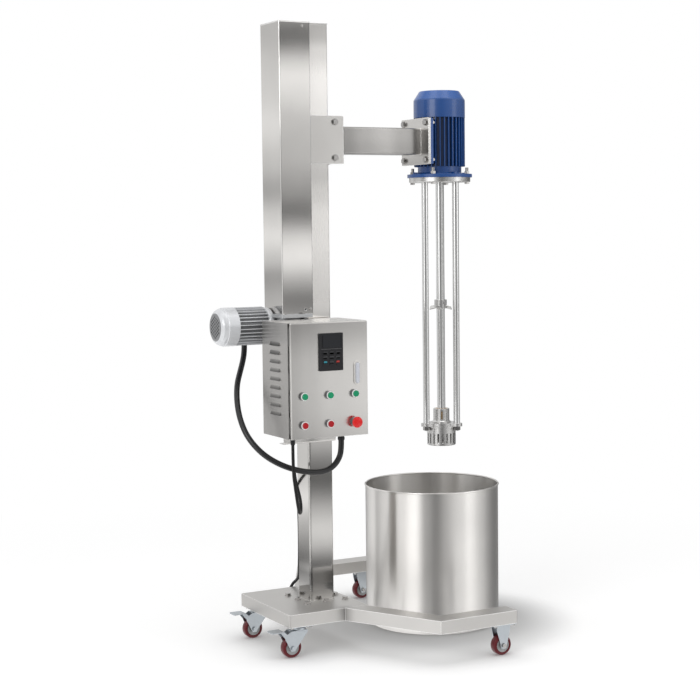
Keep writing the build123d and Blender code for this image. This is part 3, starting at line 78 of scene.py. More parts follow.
# Stage
FLOOR_CENTRE = (-0.4, 0, 0)
# Centre of the painted shadow round the tank's foot
TANK_SHADOW_CENTRE = (-0.02, 0.045, 0)
LAMP_AIM = (-0.3, 0, 1.0)
ROOM_GREY = (0.78, 0.78, 0.78)
LEFT_GREY = (0.66, 0.66, 0.66)
REFLECTED = 2.0             # strength of the surroundings in the metal

# Sockets of a Mix node for colours
MIX_FACTOR, MIX_A, MIX_B, MIX_RESULT = 0, 6, 7, 2

# Colour of the painted highlight on the rounded edges of sheets
PAINTED_EDGE_HIGHLIGHT = (0.97, 0.965, 0.955)
EVEN = (1, 1, 1)            # grain without a direction


# Nodes

def fill(tree, node, inputs):
    """Give inputs of a node their values, or link them to sockets."""
    for socket, value in inputs.items():
        if isinstance(value, bpy.types.NodeSocket):
            tree.links.new(value, node.inputs[socket])
        else:
            node.inputs[socket].default_value = value


def add(tree, kind, inputs=None, **options):
    """New node with its options set and its inputs filled."""
    node = tree.nodes.new(kind)
    for name, option in options.items():
        setattr(node, name, option)
    fill(tree, node, inputs or {})
    return node


def object_place(tree):
    """Socket of the object coordinates."""
    return add(tree, "ShaderNodeTexCoord").outputs["Object"]


def mixed(tree, factor, first, second, kind="MIX"):
    """Colour socket that runs with a factor from one colour or socket to another."""
    first, second = (c if isinstance(c, bpy.types.NodeSocket) else (*c, 1) for c in (first, second))
    mix = add(tree, "ShaderNodeMix", data_type="RGBA", blend_type=kind)
    fill(tree, mix, {MIX_FACTOR: factor, MIX_A: first, MIX_B: second})
    return mix.outputs[MIX_RESULT]


def grey_ramp(tree, factor, stops, interpolation="EASE"):
    """Colour socket of a ramp of greys, given as (position, grey)."""
    node = add(tree, "ShaderNodeValToRGB", {"Fac": factor})
    node.color_ramp.interpolation = interpolation
    elements = node.color_ramp.elements
    while len(elements) > 1:
        elements.remove(elements[-1])
    for n, (position, grey) in enumerate(stops):
        element = elements[0] if n == 0 else elements.new(position)
        element.position = position
        element.color = (grey, grey, grey, 1)
    return node.outputs["Color"]


# Shader groups that several materials share

def new_group(name, inputs, outputs):
    """Empty shader group with its sockets; (tree, input node, output node)."""
    tree = bpy.data.node_groups.new(name, "ShaderNodeTree")
    for label, default in inputs.items():
        kind = "NodeSocketFloat" if isinstance(default, float) else "NodeSocketVector"
        tree.interface.new_socket(name=label, in_out="INPUT", socket_type=kind).default_value = default
    for label in outputs:
        tree.interface.new_socket(name=label, in_out="OUTPUT", socket_type="NodeSocketFloat")
    return tree, tree.nodes.new("NodeGroupInput"), tree.nodes.new("NodeGroupOutput")


def grain_group(name):
    """Fine scratches: noise on object coordinates stretched along the brushing."""
    tree, source, sink = new_group(name, {"Stretch": EVEN, "Scale": 400.0, "Low": 0.3, "High": 0.45, "Patches": 6.0},
                                   ["Scratches", "Roughness", "Patch"])
    given = source.outputs
    place = object_place(tree)
    stretched = add(tree, "ShaderNodeVectorMath", {0: place, 1: given["Stretch"]}, operation="MULTIPLY")
    scratches = add(tree, "ShaderNodeTexNoise", {"Vector": stretched.outputs[0], "Scale": given["Scale"], "Detail": 3})
    patches = add(tree, "ShaderNodeTexNoise", {"Vector": place, "Scale": given["Patches"], "Detail": 2})
    share = add(tree, "ShaderNodeMath", {0: patches.outputs["Fac"], 1: 0.4}, operation="MULTIPLY")
    both = add(tree, "ShaderNodeMath", {0: scratches.outputs["Fac"], 1: 0.6, 2: share.outputs[0]},
               operation="MULTIPLY_ADD")
    span = add(tree, "ShaderNodeMapRange", {"Value": both.outputs[0], "From Min": 0.3, "From Max": 0.7,
                                            "To Min": given["Low"], "To Max": given["High"]})
    fill(tree, sink, {"Scratches": scratches.outputs["Fac"], "Roughness": span.outputs["Result"],
                      "Patch": patches.outputs["Fac"]})


def speckle_group(name):
    """Small uneven relief of paint, casting or moulded plastic."""
    tree, source, sink = new_group(name, {"Scale": 300.0, "Patches": 12.0}, ["Height", "Patch"])
    place = object_place(tree)
    fine = add(tree, "ShaderNodeTexNoise", {"Vector": place, "Scale": source.outputs["Scale"], "Detail": 4})
    broad = add(tree, "ShaderNodeTexNoise", {"Vector": place, "Scale": source.outputs["Patches"], "Detail": 3})
    fill(tree, sink, {"Height": fine.outputs["Fac"], "Patch": broad.outputs["Fac"]})


def edge_group(name):
    """Mask of the narrow strips where the edges of a sheet are rounded off, for a painted highlight."""
    tree, source, sink = new_group(name, {"Radius": 0.004, "Amount": 0.8}, ["Mask"])
    bevel = add(tree, "ShaderNodeBevel", {"Radius": source.outputs["Radius"]}, samples=6)
    flat = add(tree, "ShaderNodeNewGeometry")
    agree = add(tree, "ShaderNodeVectorMath", {0: bevel.outputs["Normal"], 1: flat.outputs["Normal"]},
                operation="DOT_PRODUCT")
    mask = add(tree, "ShaderNodeMapRange", {"Value": agree.outputs["Value"], "From Min": 0.995, "From Max": 0.93,
                                            "To Max": source.outputs["Amount"]})
    fill(tree, sink, {"Mask": mask.outputs["Result"]})


def shared(tree, build, inputs=None):
    """Place one of the shader groups above in a material; the first call builds it."""
    name = build.__name__.removesuffix("_group").capitalize()
    if name not in bpy.data.node_groups:
        build(name)
    return add(tree, "ShaderNodeGroup", inputs, node_tree=bpy.data.node_groups[name])


# Materials

def new_material(name):
    """Material with a clear node tree; (material, tree, shader)."""
    material = bpy.data.materials.new(name)
    material.use_nodes = True
    tree = material.node_tree
    return material, tree, tree.nodes["Principled BSDF"]


def relief(tree, shader, height, strength, distance, edge=0.0):
    """Bump on a shader, over sheet edges that look rounded off by a radius."""
    bump = add(tree, "ShaderNodeBump", {"Height": height, "Strength": strength, "Distance": distance})
    if edge:
        bevel = add(tree, "ShaderNodeBevel", {"Radius": edge}, samples=4)
        fill(tree, bump, {"Normal": bevel.outputs["Normal"]})
    fill(tree, shader, {"Normal": bump.outputs["Normal"]})


def toned(tree, colour, axis, stops, interpolation="EASE", centre=None):
    """Colour socket multiplied by greys along an object axis, or with the distance from one through a centre."""
    place = object_place(tree)
    if centre:
        flat = [0 if label == axis else 1 for label in "XYZ"]
        across = add(tree, "ShaderNodeVectorMath", {0: place, 1: flat}, operation="MULTIPLY")
        distance = add(tree, "ShaderNodeVectorMath", {0: across.outputs[0], 1: centre}, operation="DISTANCE")
        measure = distance.outputs["Value"]
    else:
        measure = add(tree, "ShaderNodeSeparateXYZ", {0: place}).outputs[axis]
    first, last = stops[0][0], stops[-1][0]
    span = add(tree, "ShaderNodeMapRange", {"Value": measure, "From Min": first, "From Max": last})
    greys = grey_ramp(tree, span.outputs["Result"], [((at - first) / (last - first), grey) for at, grey in stops],
                      interpolation)
    return mixed(tree, 1, colour, greys, "MULTIPLY")


def brushed(name, colour, stretch, low=0.28, high=0.42, scale=1200.0, strength=0.03, edge=0.0015, along=None,
            tones=(), painted_glint=0.0, duller=None):
    """Brushed or ground metal; stretch is small along the grain, and low and high are its roughness.

    The grain smears reflections upright (along "Z") or level (along "XY"); glint paints a highlight on the rounded
    sheet edges and duller scales the roughness along an axis.
    """
    material, tree, shader = new_material(name)
    grain = shared(tree, grain_group, {"Stretch": stretch, "Scale": scale, "Low": low, "High": high})
    tint = mixed(tree, grain.outputs["Patch"], [c * 0.9 for c in colour], [min(1, c * 1.06) for c in colour])
    for tone in tones:
        tint = toned(tree, tint, *tone)
    # Painted highlight on the rounded edges of the sheet
    if painted_glint:
        edges = shared(tree, edge_group, {"Amount": painted_glint})
        tint = mixed(tree, edges.outputs["Mask"], tint, PAINTED_EDGE_HIGHLIGHT)
    rough = grain.outputs["Roughness"]
    if duller:
        rough = toned(tree, rough, *duller)
    fill(tree, shader, {"Base Color": tint, "Roughness": rough, "Metallic": 1})
    if along:
        upright = add(tree, "ShaderNodeCombineXYZ", {"Z": 1})
        fill(tree, shader, {"Tangent": upright.outputs[0], "Anisotropic": 0.97,
                            "Anisotropic Rotation": 0 if along == "Z" else 0.25})
    if strength:
        relief(tree, shader, grain.outputs["Scratches"], strength, 0.0004, edge)
    return material


def painted(name, colour, roughness, scale=300.0, strength=0.08, metallic=0.0, coat=0.0, edge=0.0, shine=0.5,
            tones=()):
    """Paint, plastic or rubber with a fine relief and a slightly uneven colour."""
    material, tree, shader = new_material(name)
    speckle = shared(tree, speckle_group, {"Scale": scale})
    uneven = 0.12
    tint = mixed(tree, speckle.outputs["Patch"], [c * (1 - uneven) for c in colour],
                 [min(1, c * (1 + uneven)) for c in colour])
    for tone in tones:
        tint = toned(tree, tint, *tone)
    span = add(tree, "ShaderNodeMapRange", {"Value": speckle.outputs["Patch"], "To Min": roughness * 0.8,
                                            "To Max": roughness * 1.2})
    fill(tree, shader, {"Base Color": tint, "Roughness": span.outputs["Result"], "Specular IOR Level": shine,
                        "Metallic": metallic, "Coat Weight": coat})
    relief(tree, shader, speckle.outputs["Height"], strength, 0.0005, edge)
    return material


def two_tone(name, axis, border, near, far, roughness):
    """Plastic whose colour changes at a plane across one object axis."""
    material, tree, shader = new_material(name)
    blur = 0.0002
    measure = add(tree, "ShaderNodeSeparateXYZ", {0: object_place(tree)}).outputs[axis]
    step = add(tree, "ShaderNodeMapRange", {"Value": measure, "From Min": border - blur, "From Max": border + blur})
    fill(tree, shader, {"Base Color": mixed(tree, step.outputs["Result"], near, far), "Roughness": roughness})
    relief(tree, shader, shared(tree, speckle_group).outputs["Height"], 0.05, 0.0003)
    return material


def dress(material, *nodes):
    """Give carried-over CAD nodes a material."""
    for name in nodes:
        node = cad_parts[name]
        node.data.materials.clear()
        node.data.materials.append(material)


# Shapes

def in_scene(name, data):
    """New object in the scene."""
    piece = bpy.data.objects.new(name, data)
    bpy.context.scene.collection.objects.link(piece)
    return piece


def mesh_object(name, mesh, materials, body):
    """Piece from a bmesh, with its materials, riding on a body."""
    bmesh.ops.recalc_face_normals(mesh, faces=mesh.faces)
    data = bpy.data.meshes.new(name)
    mesh.to_mesh(data)
    mesh.free()
    for material in materials:
        data.materials.append(material)
    piece = in_scene(name, data)
    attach(piece, body)
    return piece


def place_new(mesh, old_faces, place, material, smooth):
    """Move the faces that were made since old_faces by a matrix, and give them their material."""
    faces = [face for face in mesh.faces if face not in old_faces]
    bmesh.ops.transform(mesh, matrix=place, verts=list({v for face in faces for v in face.verts}))
    for face in faces:
        face.smooth = smooth
        face.material_index = material


def spun(mesh, profile, place, steps=48, material=0):
    """Smooth solid of revolution about Z of closed (radius, height) points, moved by a matrix."""
    old_faces = set(mesh.faces)
    verts = [mesh.verts.new((r, 0, z)) for r, z in profile]
    edges = [mesh.edges.new((a, b)) for a, b in zip(verts, verts[1:] + verts[:1])]
    bmesh.ops.spin(mesh, geom=verts + edges, cent=(0, 0, 0), axis=(0, 0, 1), angle=math.tau, steps=steps,
                   use_merge=True)
    place_new(mesh, old_faces, place, material, smooth=True)


def slab(mesh, low, high, radius=0.0, axis="Y", material=0, place=Matrix.Identity(4)):
    """Box between two corners with its edges along one axis rounded, moved by a matrix."""
    old_faces = set(mesh.faces)
    low, high = Vector(low), Vector(high)
    verts = bmesh.ops.create_cube(mesh, size=1)["verts"]
    bmesh.ops.scale(mesh, vec=high - low, verts=verts)
    bmesh.ops.translate(mesh, vec=(high + low) / 2, verts=verts)
    if radius:
        index = "XYZ".index(axis)
        edges = [e for e in {e for v in verts for e in v.link_edges}
                 if abs((e.verts[0].co - e.verts[1].co)[index]) > 1e-7]
        bmesh.ops.bevel(mesh, geom=edges, offset=radius, segments=3, profile=0.5, affect="EDGES", material=-1)
    place_new(mesh, old_faces, place, material, smooth=False)


def nurbs(name, points, radius, material, body):
    """Round cord on a quadratic spline with these control points."""
    curve = bpy.data.curves.new(name, "CURVE")
    curve.dimensions = "3D"
    curve.bevel_depth = radius
    curve.bevel_resolution = 5
    curve.resolution_u = 6
    curve.use_fill_caps = True
    spline = curve.splines.new("NURBS")
    spline.points.add(len(points) - 1)
    for point, place in zip(spline.points, points):
        point.co = (*place, 1)
    spline.order_u = 3
    spline.use_endpoint_u = True
    curve.materials.append(material)
    piece = in_scene(name, curve)
    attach(piece, body)
    return piece


def in_metres(points):
    """Route points given in millimetres from the column axis."""
    return [(COLUMN_X + x / 1000, y / 1000, z / 1000) for x, y, z in points]


# Sizes and colours that a user would change

class MixerLook(bpy.types.PropertyGroup):
    """Colours of the machine."""
    steel: bpy.props.FloatVectorProperty(name="Steel", description="Colour of the brushed sheet",
                                         subtype="COLOR", default=(0.64, 0.625, 0.605), min=0, max=1)
    motor: bpy.props.FloatVectorProperty(name="Motor", description="Colour of the main motor's enamel",
                                         subtype="COLOR", default=(0.012, 0.065, 0.24), min=0, max=1)
    wheel: bpy.props.FloatVectorProperty(name="Wheel", description="Colour of the caster treads",
                                         subtype="COLOR", default=(0.11, 0.005, 0.009), min=0, max=1)


class MixerCords(bpy.types.PropertyGroup):
    """Sizes of the cords."""
    lead: bpy.props.FloatProperty(name="Lead", description="Diameter of the power lead", unit="LENGTH",
                                  default=LEAD_DIAMETER, min=0.004, max=0.02)
    conduit: bpy.props.FloatProperty(name="Conduit", description="Diameter of the lift motor's conduit",
                                     unit="LENGTH", default=CONDUIT_DIAMETER, min=0.01, max=0.04)


class MixerStage(bpy.types.PropertyGroup):
    """Camera, floor and light."""
    focal: bpy.props.FloatProperty(name="Focal length", description="Focal length of the camera in millimetres",
                                   unit="CAMERA", default=83.216, min=20, max=200)
    floor: bpy.props.FloatProperty(name="Floor", description="Half side of the floor", unit="LENGTH",
                                   default=14.0, min=2, max=40)
    key: bpy.props.FloatProperty(name="Key light", description="Power of the large light at the left",
                                 unit="POWER", default=60.0, min=0, max=2000)


class MIXER_OT_camera(bpy.types.Operator):
    """Put the camera at the photograph's viewing angle"""
    bl_idname = "mixer.camera"
    bl_label = "Camera"

    def execute(self, context):
        yaw, pitch, roll = (math.radians(a) for a in CAMERA_ANGLES)
        ahead = Vector((math.sin(yaw) * math.cos(pitch), math.cos(yaw) * math.cos(pitch), -math.sin(pitch)))
        level = Vector((math.cos(yaw), -math.sin(yaw), 0))
        above = level.cross(ahead)
        right = level * math.cos(roll) + above * math.sin(roll)
        up = above * math.cos(roll) - level * math.sin(roll)
        data = bpy.data.cameras.new("camera")
        data.sensor_width = SENSOR_WIDTH
        data.lens = context.scene.mixer_stage.focal
        data.clip_end = 60
        camera = in_scene("camera", data)
        turn = Matrix((right, up, -ahead)).transposed().to_4x4()
        camera.matrix_world = Matrix.Translation(CAMERA_PLACE) @ turn
        context.scene.camera = camera
        return {"FINISHED"}


class MIXER_OT_cords(bpy.types.Operator):
    """Lay the power lead with its coil and hang the conduit"""
    bl_idname = "mixer.cords"
    bl_label = "Cords"

    def execute(self, context):
        cords = context.scene.mixer_cords
        rubber = painted("lead_rubber", (0.009, 0.009, 0.009), 0.42, scale=500, strength=0.1, shine=0.25)
        conduit_skin = painted("conduit_skin", (0.009, 0.009, 0.01), 0.3, scale=220, strength=0.3, coat=0.12,
                               shine=0.4)
        # From the gland down round the hanging loop, behind the column to the floor, and through the coil to the plug
        route = [(-204, -228, 787), (-204, -228, 733), (-202, -228, 672), (-195, -230, 615), (-187, -228, 566),
                 (-168, -203, 531), (-144, -168, 531), (-131, -140, 564), (-136, -131, 602), (-142, -123, 636),
                 (-138, -107, 662), (-125, -76, 676), (-106, -36, 673), (-87, 4, 658), (-71, 36, 628),
                 (-54, 61, 588), (-35, 74, 530), (-30, 77, 450), (-29, 80, 320), (-14, 115, 262), (8, 160, 222),
                 (20, 198, 194), (12, 222, 176), (4, 236, 148), (3, 243, 102), (4, 250, 54), (6, 270, 19),
                 (6, 300, 5.75), (6, 328, 5.75), (6, 352, 5.75)]
        route += self.coil()
        route += [(143.5, 352, 17.25), (143.5, 318, 17.25)]
        lead = nurbs("power_lead_line", in_metres(route), cords.lead / 2, rubber, "stand")
        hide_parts("power_lead", "power_lead_coil")
        dress(rubber, "power_plug")
        # From the lift motor's gland in one hanging bow to the gland under the box
        bend = [(-225, 124, 1137), (-225, 124, 1103), (-237, 111, 1069), (-262, 84, 1030), (-293, 48, 985),
                (-316, 0, 926), (-327, -50, 866), (-320, -98, 806), (-284, -140, 750), (-232, -172, 712),
                (-172, -192, 688), (-115, -201, 677), (-64, -203, 677), (-31, -203, 690), (-6, -202, 715),
                (7, -200, 747), (7, -200, 787)]
        hose = nurbs("lift_conduit_line", in_metres(bend), cords.conduit / 2, conduit_skin, "stand")
        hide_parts("lift_conduit")
        return {"FINISHED"}

    @staticmethod
    def coil():
        """Control points of the coil's turns, clockwise from its left to its right, in two layers of two laps."""
        points = []
        outward = 1 / math.cos(math.pi / COIL_POINTS)
        for n in range(1, int(COIL_TURNS * COIL_POINTS)):
            turn = n / COIL_POINTS
            lap = min(len(COIL_LAPS) - 1, int(turn + COIL_EARLY))
            ease = 0 if lap == 0 else min(1, (turn + COIL_EARLY - lap) / COIL_CLIMB)
            ease = ease * ease * (3 - 2 * ease)
            radius, height = (a + (b - a) * ease for a, b in zip(COIL_LAPS[max(0, lap - 1)], COIL_LAPS[lap]))
            angle = math.pi - math.tau * turn
            points.append((COIL_CENTRE[0] + radius * outward * math.cos(angle),
                           COIL_CENTRE[1] + radius * outward * math.sin(angle), height))
        return points


class MIXER_OT_stand(bpy.types.Operator):
    """Dress the base, the column, the housing and the tank"""
    bl_idname = "mixer.stand"
    bl_label = "Stand and tank"

    def execute(self, context):
        steel = context.scene.mixer_look.steel
        # Painted reflections: light and dark bands from the column's foot to its top, which is duller from the box up,
        # on steel painted a little lighter than the cover's
        height = ("Z", [(0.166, 0.8), (0.2, 0.5), (0.24, 0.32), (0.262, 0.32), (0.3, 0.72), (0.38, 1), (1.1, 1),
                        (1.28, 1.38), (1.5, 1.4), (1.6, 1.35), (1.69, 1.14), (1.745, 0.95), (1.85, 1.1), (2.0, 1.3),
                        (2.1, 1.38), (2.2, 1.1), (2.26, 0.75), (2.3, 0.7)])
        dull = ("Z", [(1.1, 0.3), (1.2, 0.3), (1.3, 0.85), (2.3, 0.85)])
        dress(brushed("column_steel", [c * 1.05 for c in steel], (1, 1, 0.01), low=0.3, high=0.36, strength=0.01,
                      edge=0.009, along="XY", tones=[height], duller=dull), "column_tube")
        # The cover's edge is painted dark with the shade of the gap where it meets the column
        gap_shade = ("X", [(-0.73, 1), (-0.6005, 1), (-0.5998, 0.3), (-0.5, 0.3)], "LINEAR")
        dress(brushed("cover_steel", steel, (1, 1, 0.01), low=0.09, high=0.11, strength=0.01, edge=0.003, along="XY",
                      tones=[gap_shade], painted_glint=0.8), "screw_cover", "column_top_cap")
        # Painted shade round the corner between the platform and the front leg, on the base's steel painted a little
        # darker
        corner_shade = ("Z", [(0.0, 0.55), (0.012, 0.72), (0.04, 1), (3.0, 1)], "LINEAR", (-0.549, -0.207, 0))
        dress(brushed("level_steel", [c * 0.9 for c in steel], (0.03, 1, 1), low=0.36, high=0.44, strength=0.02,
                      tones=[corner_shade], painted_glint=1.0), "base_platform", "fork_leg_front", "fork_leg_rear")
        dress(brushed("tank_steel", [c * 1.14 for c in steel], (0.05, 0.05, 1), low=0.3, high=0.32, strength=0,
                      edge=0, along="Z"), "mixing_tank")
        dress(brushed("bolt_steel", (0.42, 0.41, 0.4), EVEN, low=0.14, high=0.24, edge=0),
              "stand_fasteners", "carriage_fasteners", "lift_screw")
        dress(brushed("zinc_plate", (0.5, 0.535, 0.565), EVEN, low=0.25, high=0.5, scale=120, edge=0),
              "swivel_caster_plates", "fixed_caster_forks", "caster_fork_front", "caster_fork_rear",
              "brake_pedal_front", "brake_pedal_rear")
        return {"FINISHED"}


class MIXER_OT_wheels(bpy.types.Operator):
    """Build the four caster wheels with treads, discs and bearings"""
    bl_idname = "mixer.wheels"
    bl_label = "Caster wheels"

    def execute(self, context):
        tread = painted("wheel_tread", context.scene.mixer_look.wheel, 0.38, scale=150, strength=0.06, coat=0.1,
                        shine=0.3)
        disc = painted("wheel_disc", (0.42, 0.43, 0.43), 0.45, scale=220)
        bearing = brushed("bearing_steel", (0.5, 0.5, 0.5), EVEN, low=0.25, high=0.4, edge=0)
        half = 0.015
        # (radius, place along the axle) round each ring's section
        tread_ring = [(0.0255, -half + 0.001), (0.032, -half), (0.0355, -half + 0.002), (0.037, -half + 0.005),
                      (WHEEL_RADIUS, -0.004), (WHEEL_RADIUS, 0.004), (0.037, half - 0.005), (0.0355, half - 0.002),
                      (0.032, half), (0.0255, half - 0.001)]
        disc_ring = [(0.0125, -0.009), (0.0195, -0.0085), (0.0245, -0.0125), (0.0254, -0.0142), (0.0254, 0.0142),
                     (0.0245, 0.0125), (0.0195, 0.0085), (0.0125, 0.009)]
        bearing_ring = [(0.00505, -0.017), (0.0105, -0.017), (0.012, -0.0155), (0.0124, -0.009), (0.0124, 0.009),
                        (0.012, 0.0155), (0.0105, 0.017), (0.00505, 0.017)]
        for kind, x, y in (("swivel", SWIVEL_WHEEL_X, SWIVEL_WHEEL_Y), ("leg", LEG_WHEEL_X, LEG_WHEEL_Y)):
            for end, side in (("front", -1), ("rear", 1)):
                node = f"{kind}_wheel_{end}"
                place = Matrix.Translation((x, side * y, WHEEL_RADIUS)) @ Matrix.Rotation(math.pi / 2, 4, "X")
                mesh = bmesh.new()
                spun(mesh, tread_ring, place, steps=64)
                spun(mesh, disc_ring, place, steps=48, material=1)
                spun(mesh, bearing_ring, place, steps=32, material=2)
                wheel = mesh_object(f"{node}_dressed", mesh, [tread, disc, bearing], f"{end}_{kind}_wheel")
                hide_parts(node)
        return {"FINISHED"}


class MIXER_OT_drive(bpy.types.Operator):
    """Dress the lift motor, its gearbox and the glands"""
    bl_idname = "mixer.drive"
    bl_label = "Lift drive"

    def execute(self, context):
        silver = {"scale": 260, "metallic": 0.25, "coat": 0.2, "edge": 0.0008}
        # Painted shade down between the fins, and on the grille's face
        fin_shade = ("X", [(0.0, 0.3), (0.059, 0.3), (0.066, 1), (0.2, 1)], "LINEAR", (0, LIFT_MOTOR_Y, LIFT_MOTOR_Z))
        grille_shade = ("X", [(-0.9402, 0.32), (-0.9392, 0.32), (-0.9384, 1), (-0.7, 1)], "LINEAR")
        dress(painted("motor_silver", (0.66, 0.67, 0.69), 0.34, strength=0.12, tones=[fin_shade], **silver),
              "lift_motor_body")
        dress(painted("cowl_silver", (0.66, 0.67, 0.69), 0.32, strength=0.1, tones=[grille_shade], **silver),
              "lift_motor_fan_cowl")
        dress(painted("case_silver", (0.64, 0.65, 0.67), 0.34, strength=0.1, **silver), "lift_motor_terminal_box")
        self.fan()
        dress(painted("gear_silver", (0.46, 0.47, 0.48), 0.42, scale=200, strength=0.2, metallic=0.35, edge=0.001),
              "worm_gearbox")
        dress(painted("gland_nylon", (0.012, 0.012, 0.013), 0.4, scale=400, shine=0.3), "cable_glands")
        return {"FINISHED"}

    @staticmethod
    def fan():
        """Dark fan behind the grille of the lift motor's cowl: back disc, hub and radial blades."""
        blades = 9
        place = (Matrix.Translation((FAN_X, LIFT_MOTOR_Y, LIFT_MOTOR_Z))
                 @ Matrix.Rotation(math.pi / 2, 4, "Y"))
        mesh = bmesh.new()
        spun(mesh, [(0.004, 0.004), (0.046, 0.004), (0.047, 0.005), (0.047, 0.0065), (0.046, 0.0075),
                    (0.004, 0.0075)], place)
        spun(mesh, [(0.001, 0.0), (0.010, 0.0), (0.012, 0.002), (0.012, 0.0085), (0.001, 0.0085)], place, steps=24)
        for n in range(blades):
            slab(mesh, (0.011, -0.0011, 0.0005), (0.043, 0.0011, 0.0045), 0.0008, axis="X",
                 place=place @ Matrix.Rotation(math.tau * n / blades, 4, "Z"))
        dark = painted("fan_black", (0.015, 0.015, 0.016), 0.5, scale=300, shine=0.3)
        mesh_object("lift_motor_fan", mesh, [dark], "stand")


class MIXER_OT_carriage(bpy.types.Operator):
    """Dress the carriage, the arm and the main motor"""
    bl_idname = "mixer.carriage"
    bl_label = "Carriage and motor"

    def execute(self, context):
        look = context.scene.mixer_look
        # Painted reflections along the arm, with painted shade at its ends and a painted highlight on the motor
        # plate's face, and painted shade towards its underside
        arm_light_and_shade = ("X", [(-0.46, 0.4), (-0.43, 0.46), (-0.36, 0.58), (-0.27, 0.66), (-0.19, 0.5), (-0.14, 0.46),
                        (-0.12, 0.8), (-0.1125, 0.95), (-0.1118, 1.3), (-0.1105, 1.25), (-0.109, 0.85),
                        (-0.10, 0.85)])
        underside_shade = ("Z", [(1.79, 0.76), (1.85, 0.95), (1.9, 1.06)])
        dress(brushed("arm_steel", look.steel, (0.03, 1, 1), low=0.22, high=0.28, strength=0.01,
                      tones=[arm_light_and_shade, underside_shade], painted_glint=0.6), "arm_weldment")
        # The cheeks' steel is a darker copy of the steel: painted shade
        dress(brushed("cheek_steel", [c * 0.86 for c in look.steel], (1, 1, 0.03), low=0.24, high=0.28,
                      strength=0.008, painted_glint=0.6), "carriage_cheeks")
        # Painted shade down between the fins, and a painted highlight on the cowl's sloping shoulder
        fin_shade = ("Z", [(0.0, 0.3), (0.085, 0.3), (0.095, 1), (0.2, 1)], "LINEAR", (0, 0, 0))
        shoulder_highlight = ("Z", [(1.9, 0.92), (2.038, 0.95), (2.046, 1.35), (2.08, 1.5)], "LINEAR")
        dress(painted("fin_enamel", look.motor, 0.3, scale=240, strength=0.1, coat=0.25, edge=0.001, tones=[fin_shade]),
              "main_motor_body")
        dress(painted("motor_enamel", look.motor, 0.3, scale=240, strength=0.1, coat=0.25, edge=0.001),
              "main_motor_flange", "main_motor_terminal_box")
        dress(painted("cowl_enamel", look.motor, 0.28, scale=500, strength=0.03, coat=0.3, edge=0.001,
                      tones=[shoulder_highlight]), "main_motor_fan_cowl")
        dress(painted("roller_nylon", (0.62, 0.6, 0.55), 0.5, scale=300), "guide_roller_upper", "guide_roller_lower")
        dress(painted("fan_plastic", (0.02, 0.02, 0.02), 0.5, scale=300), "motor_cooling_fan")
        dress(brushed("bronze", (0.55, 0.36, 0.16), (1, 1, 0.1), low=0.25, high=0.4, edge=0),
              "lift_nut_block", "shaft_bush")
        return {"FINISHED"}


class MIXER_OT_head(bpy.types.Operator):
    """Dress the mixing head"""
    bl_idname = "mixer.head"
    bl_label = "Mixing head"

    def execute(self, context):
        dress(brushed("polished_bar", (0.82, 0.82, 0.815), (0.1, 0.1, 1), low=0.1, high=0.13, strength=0, edge=0,
                      along="Z"), "tie_rods", "mixer_shaft")
        dress(brushed("turned_steel", (0.64, 0.635, 0.625), (0.1, 0.1, 1), low=0.2, high=0.34, strength=0.04,
                      edge=0.0008),
              "head_adapter_plate", "head_lower_plate", "stator_cage", "rotor_head", "axial_propeller")
        return {"FINISHED"}


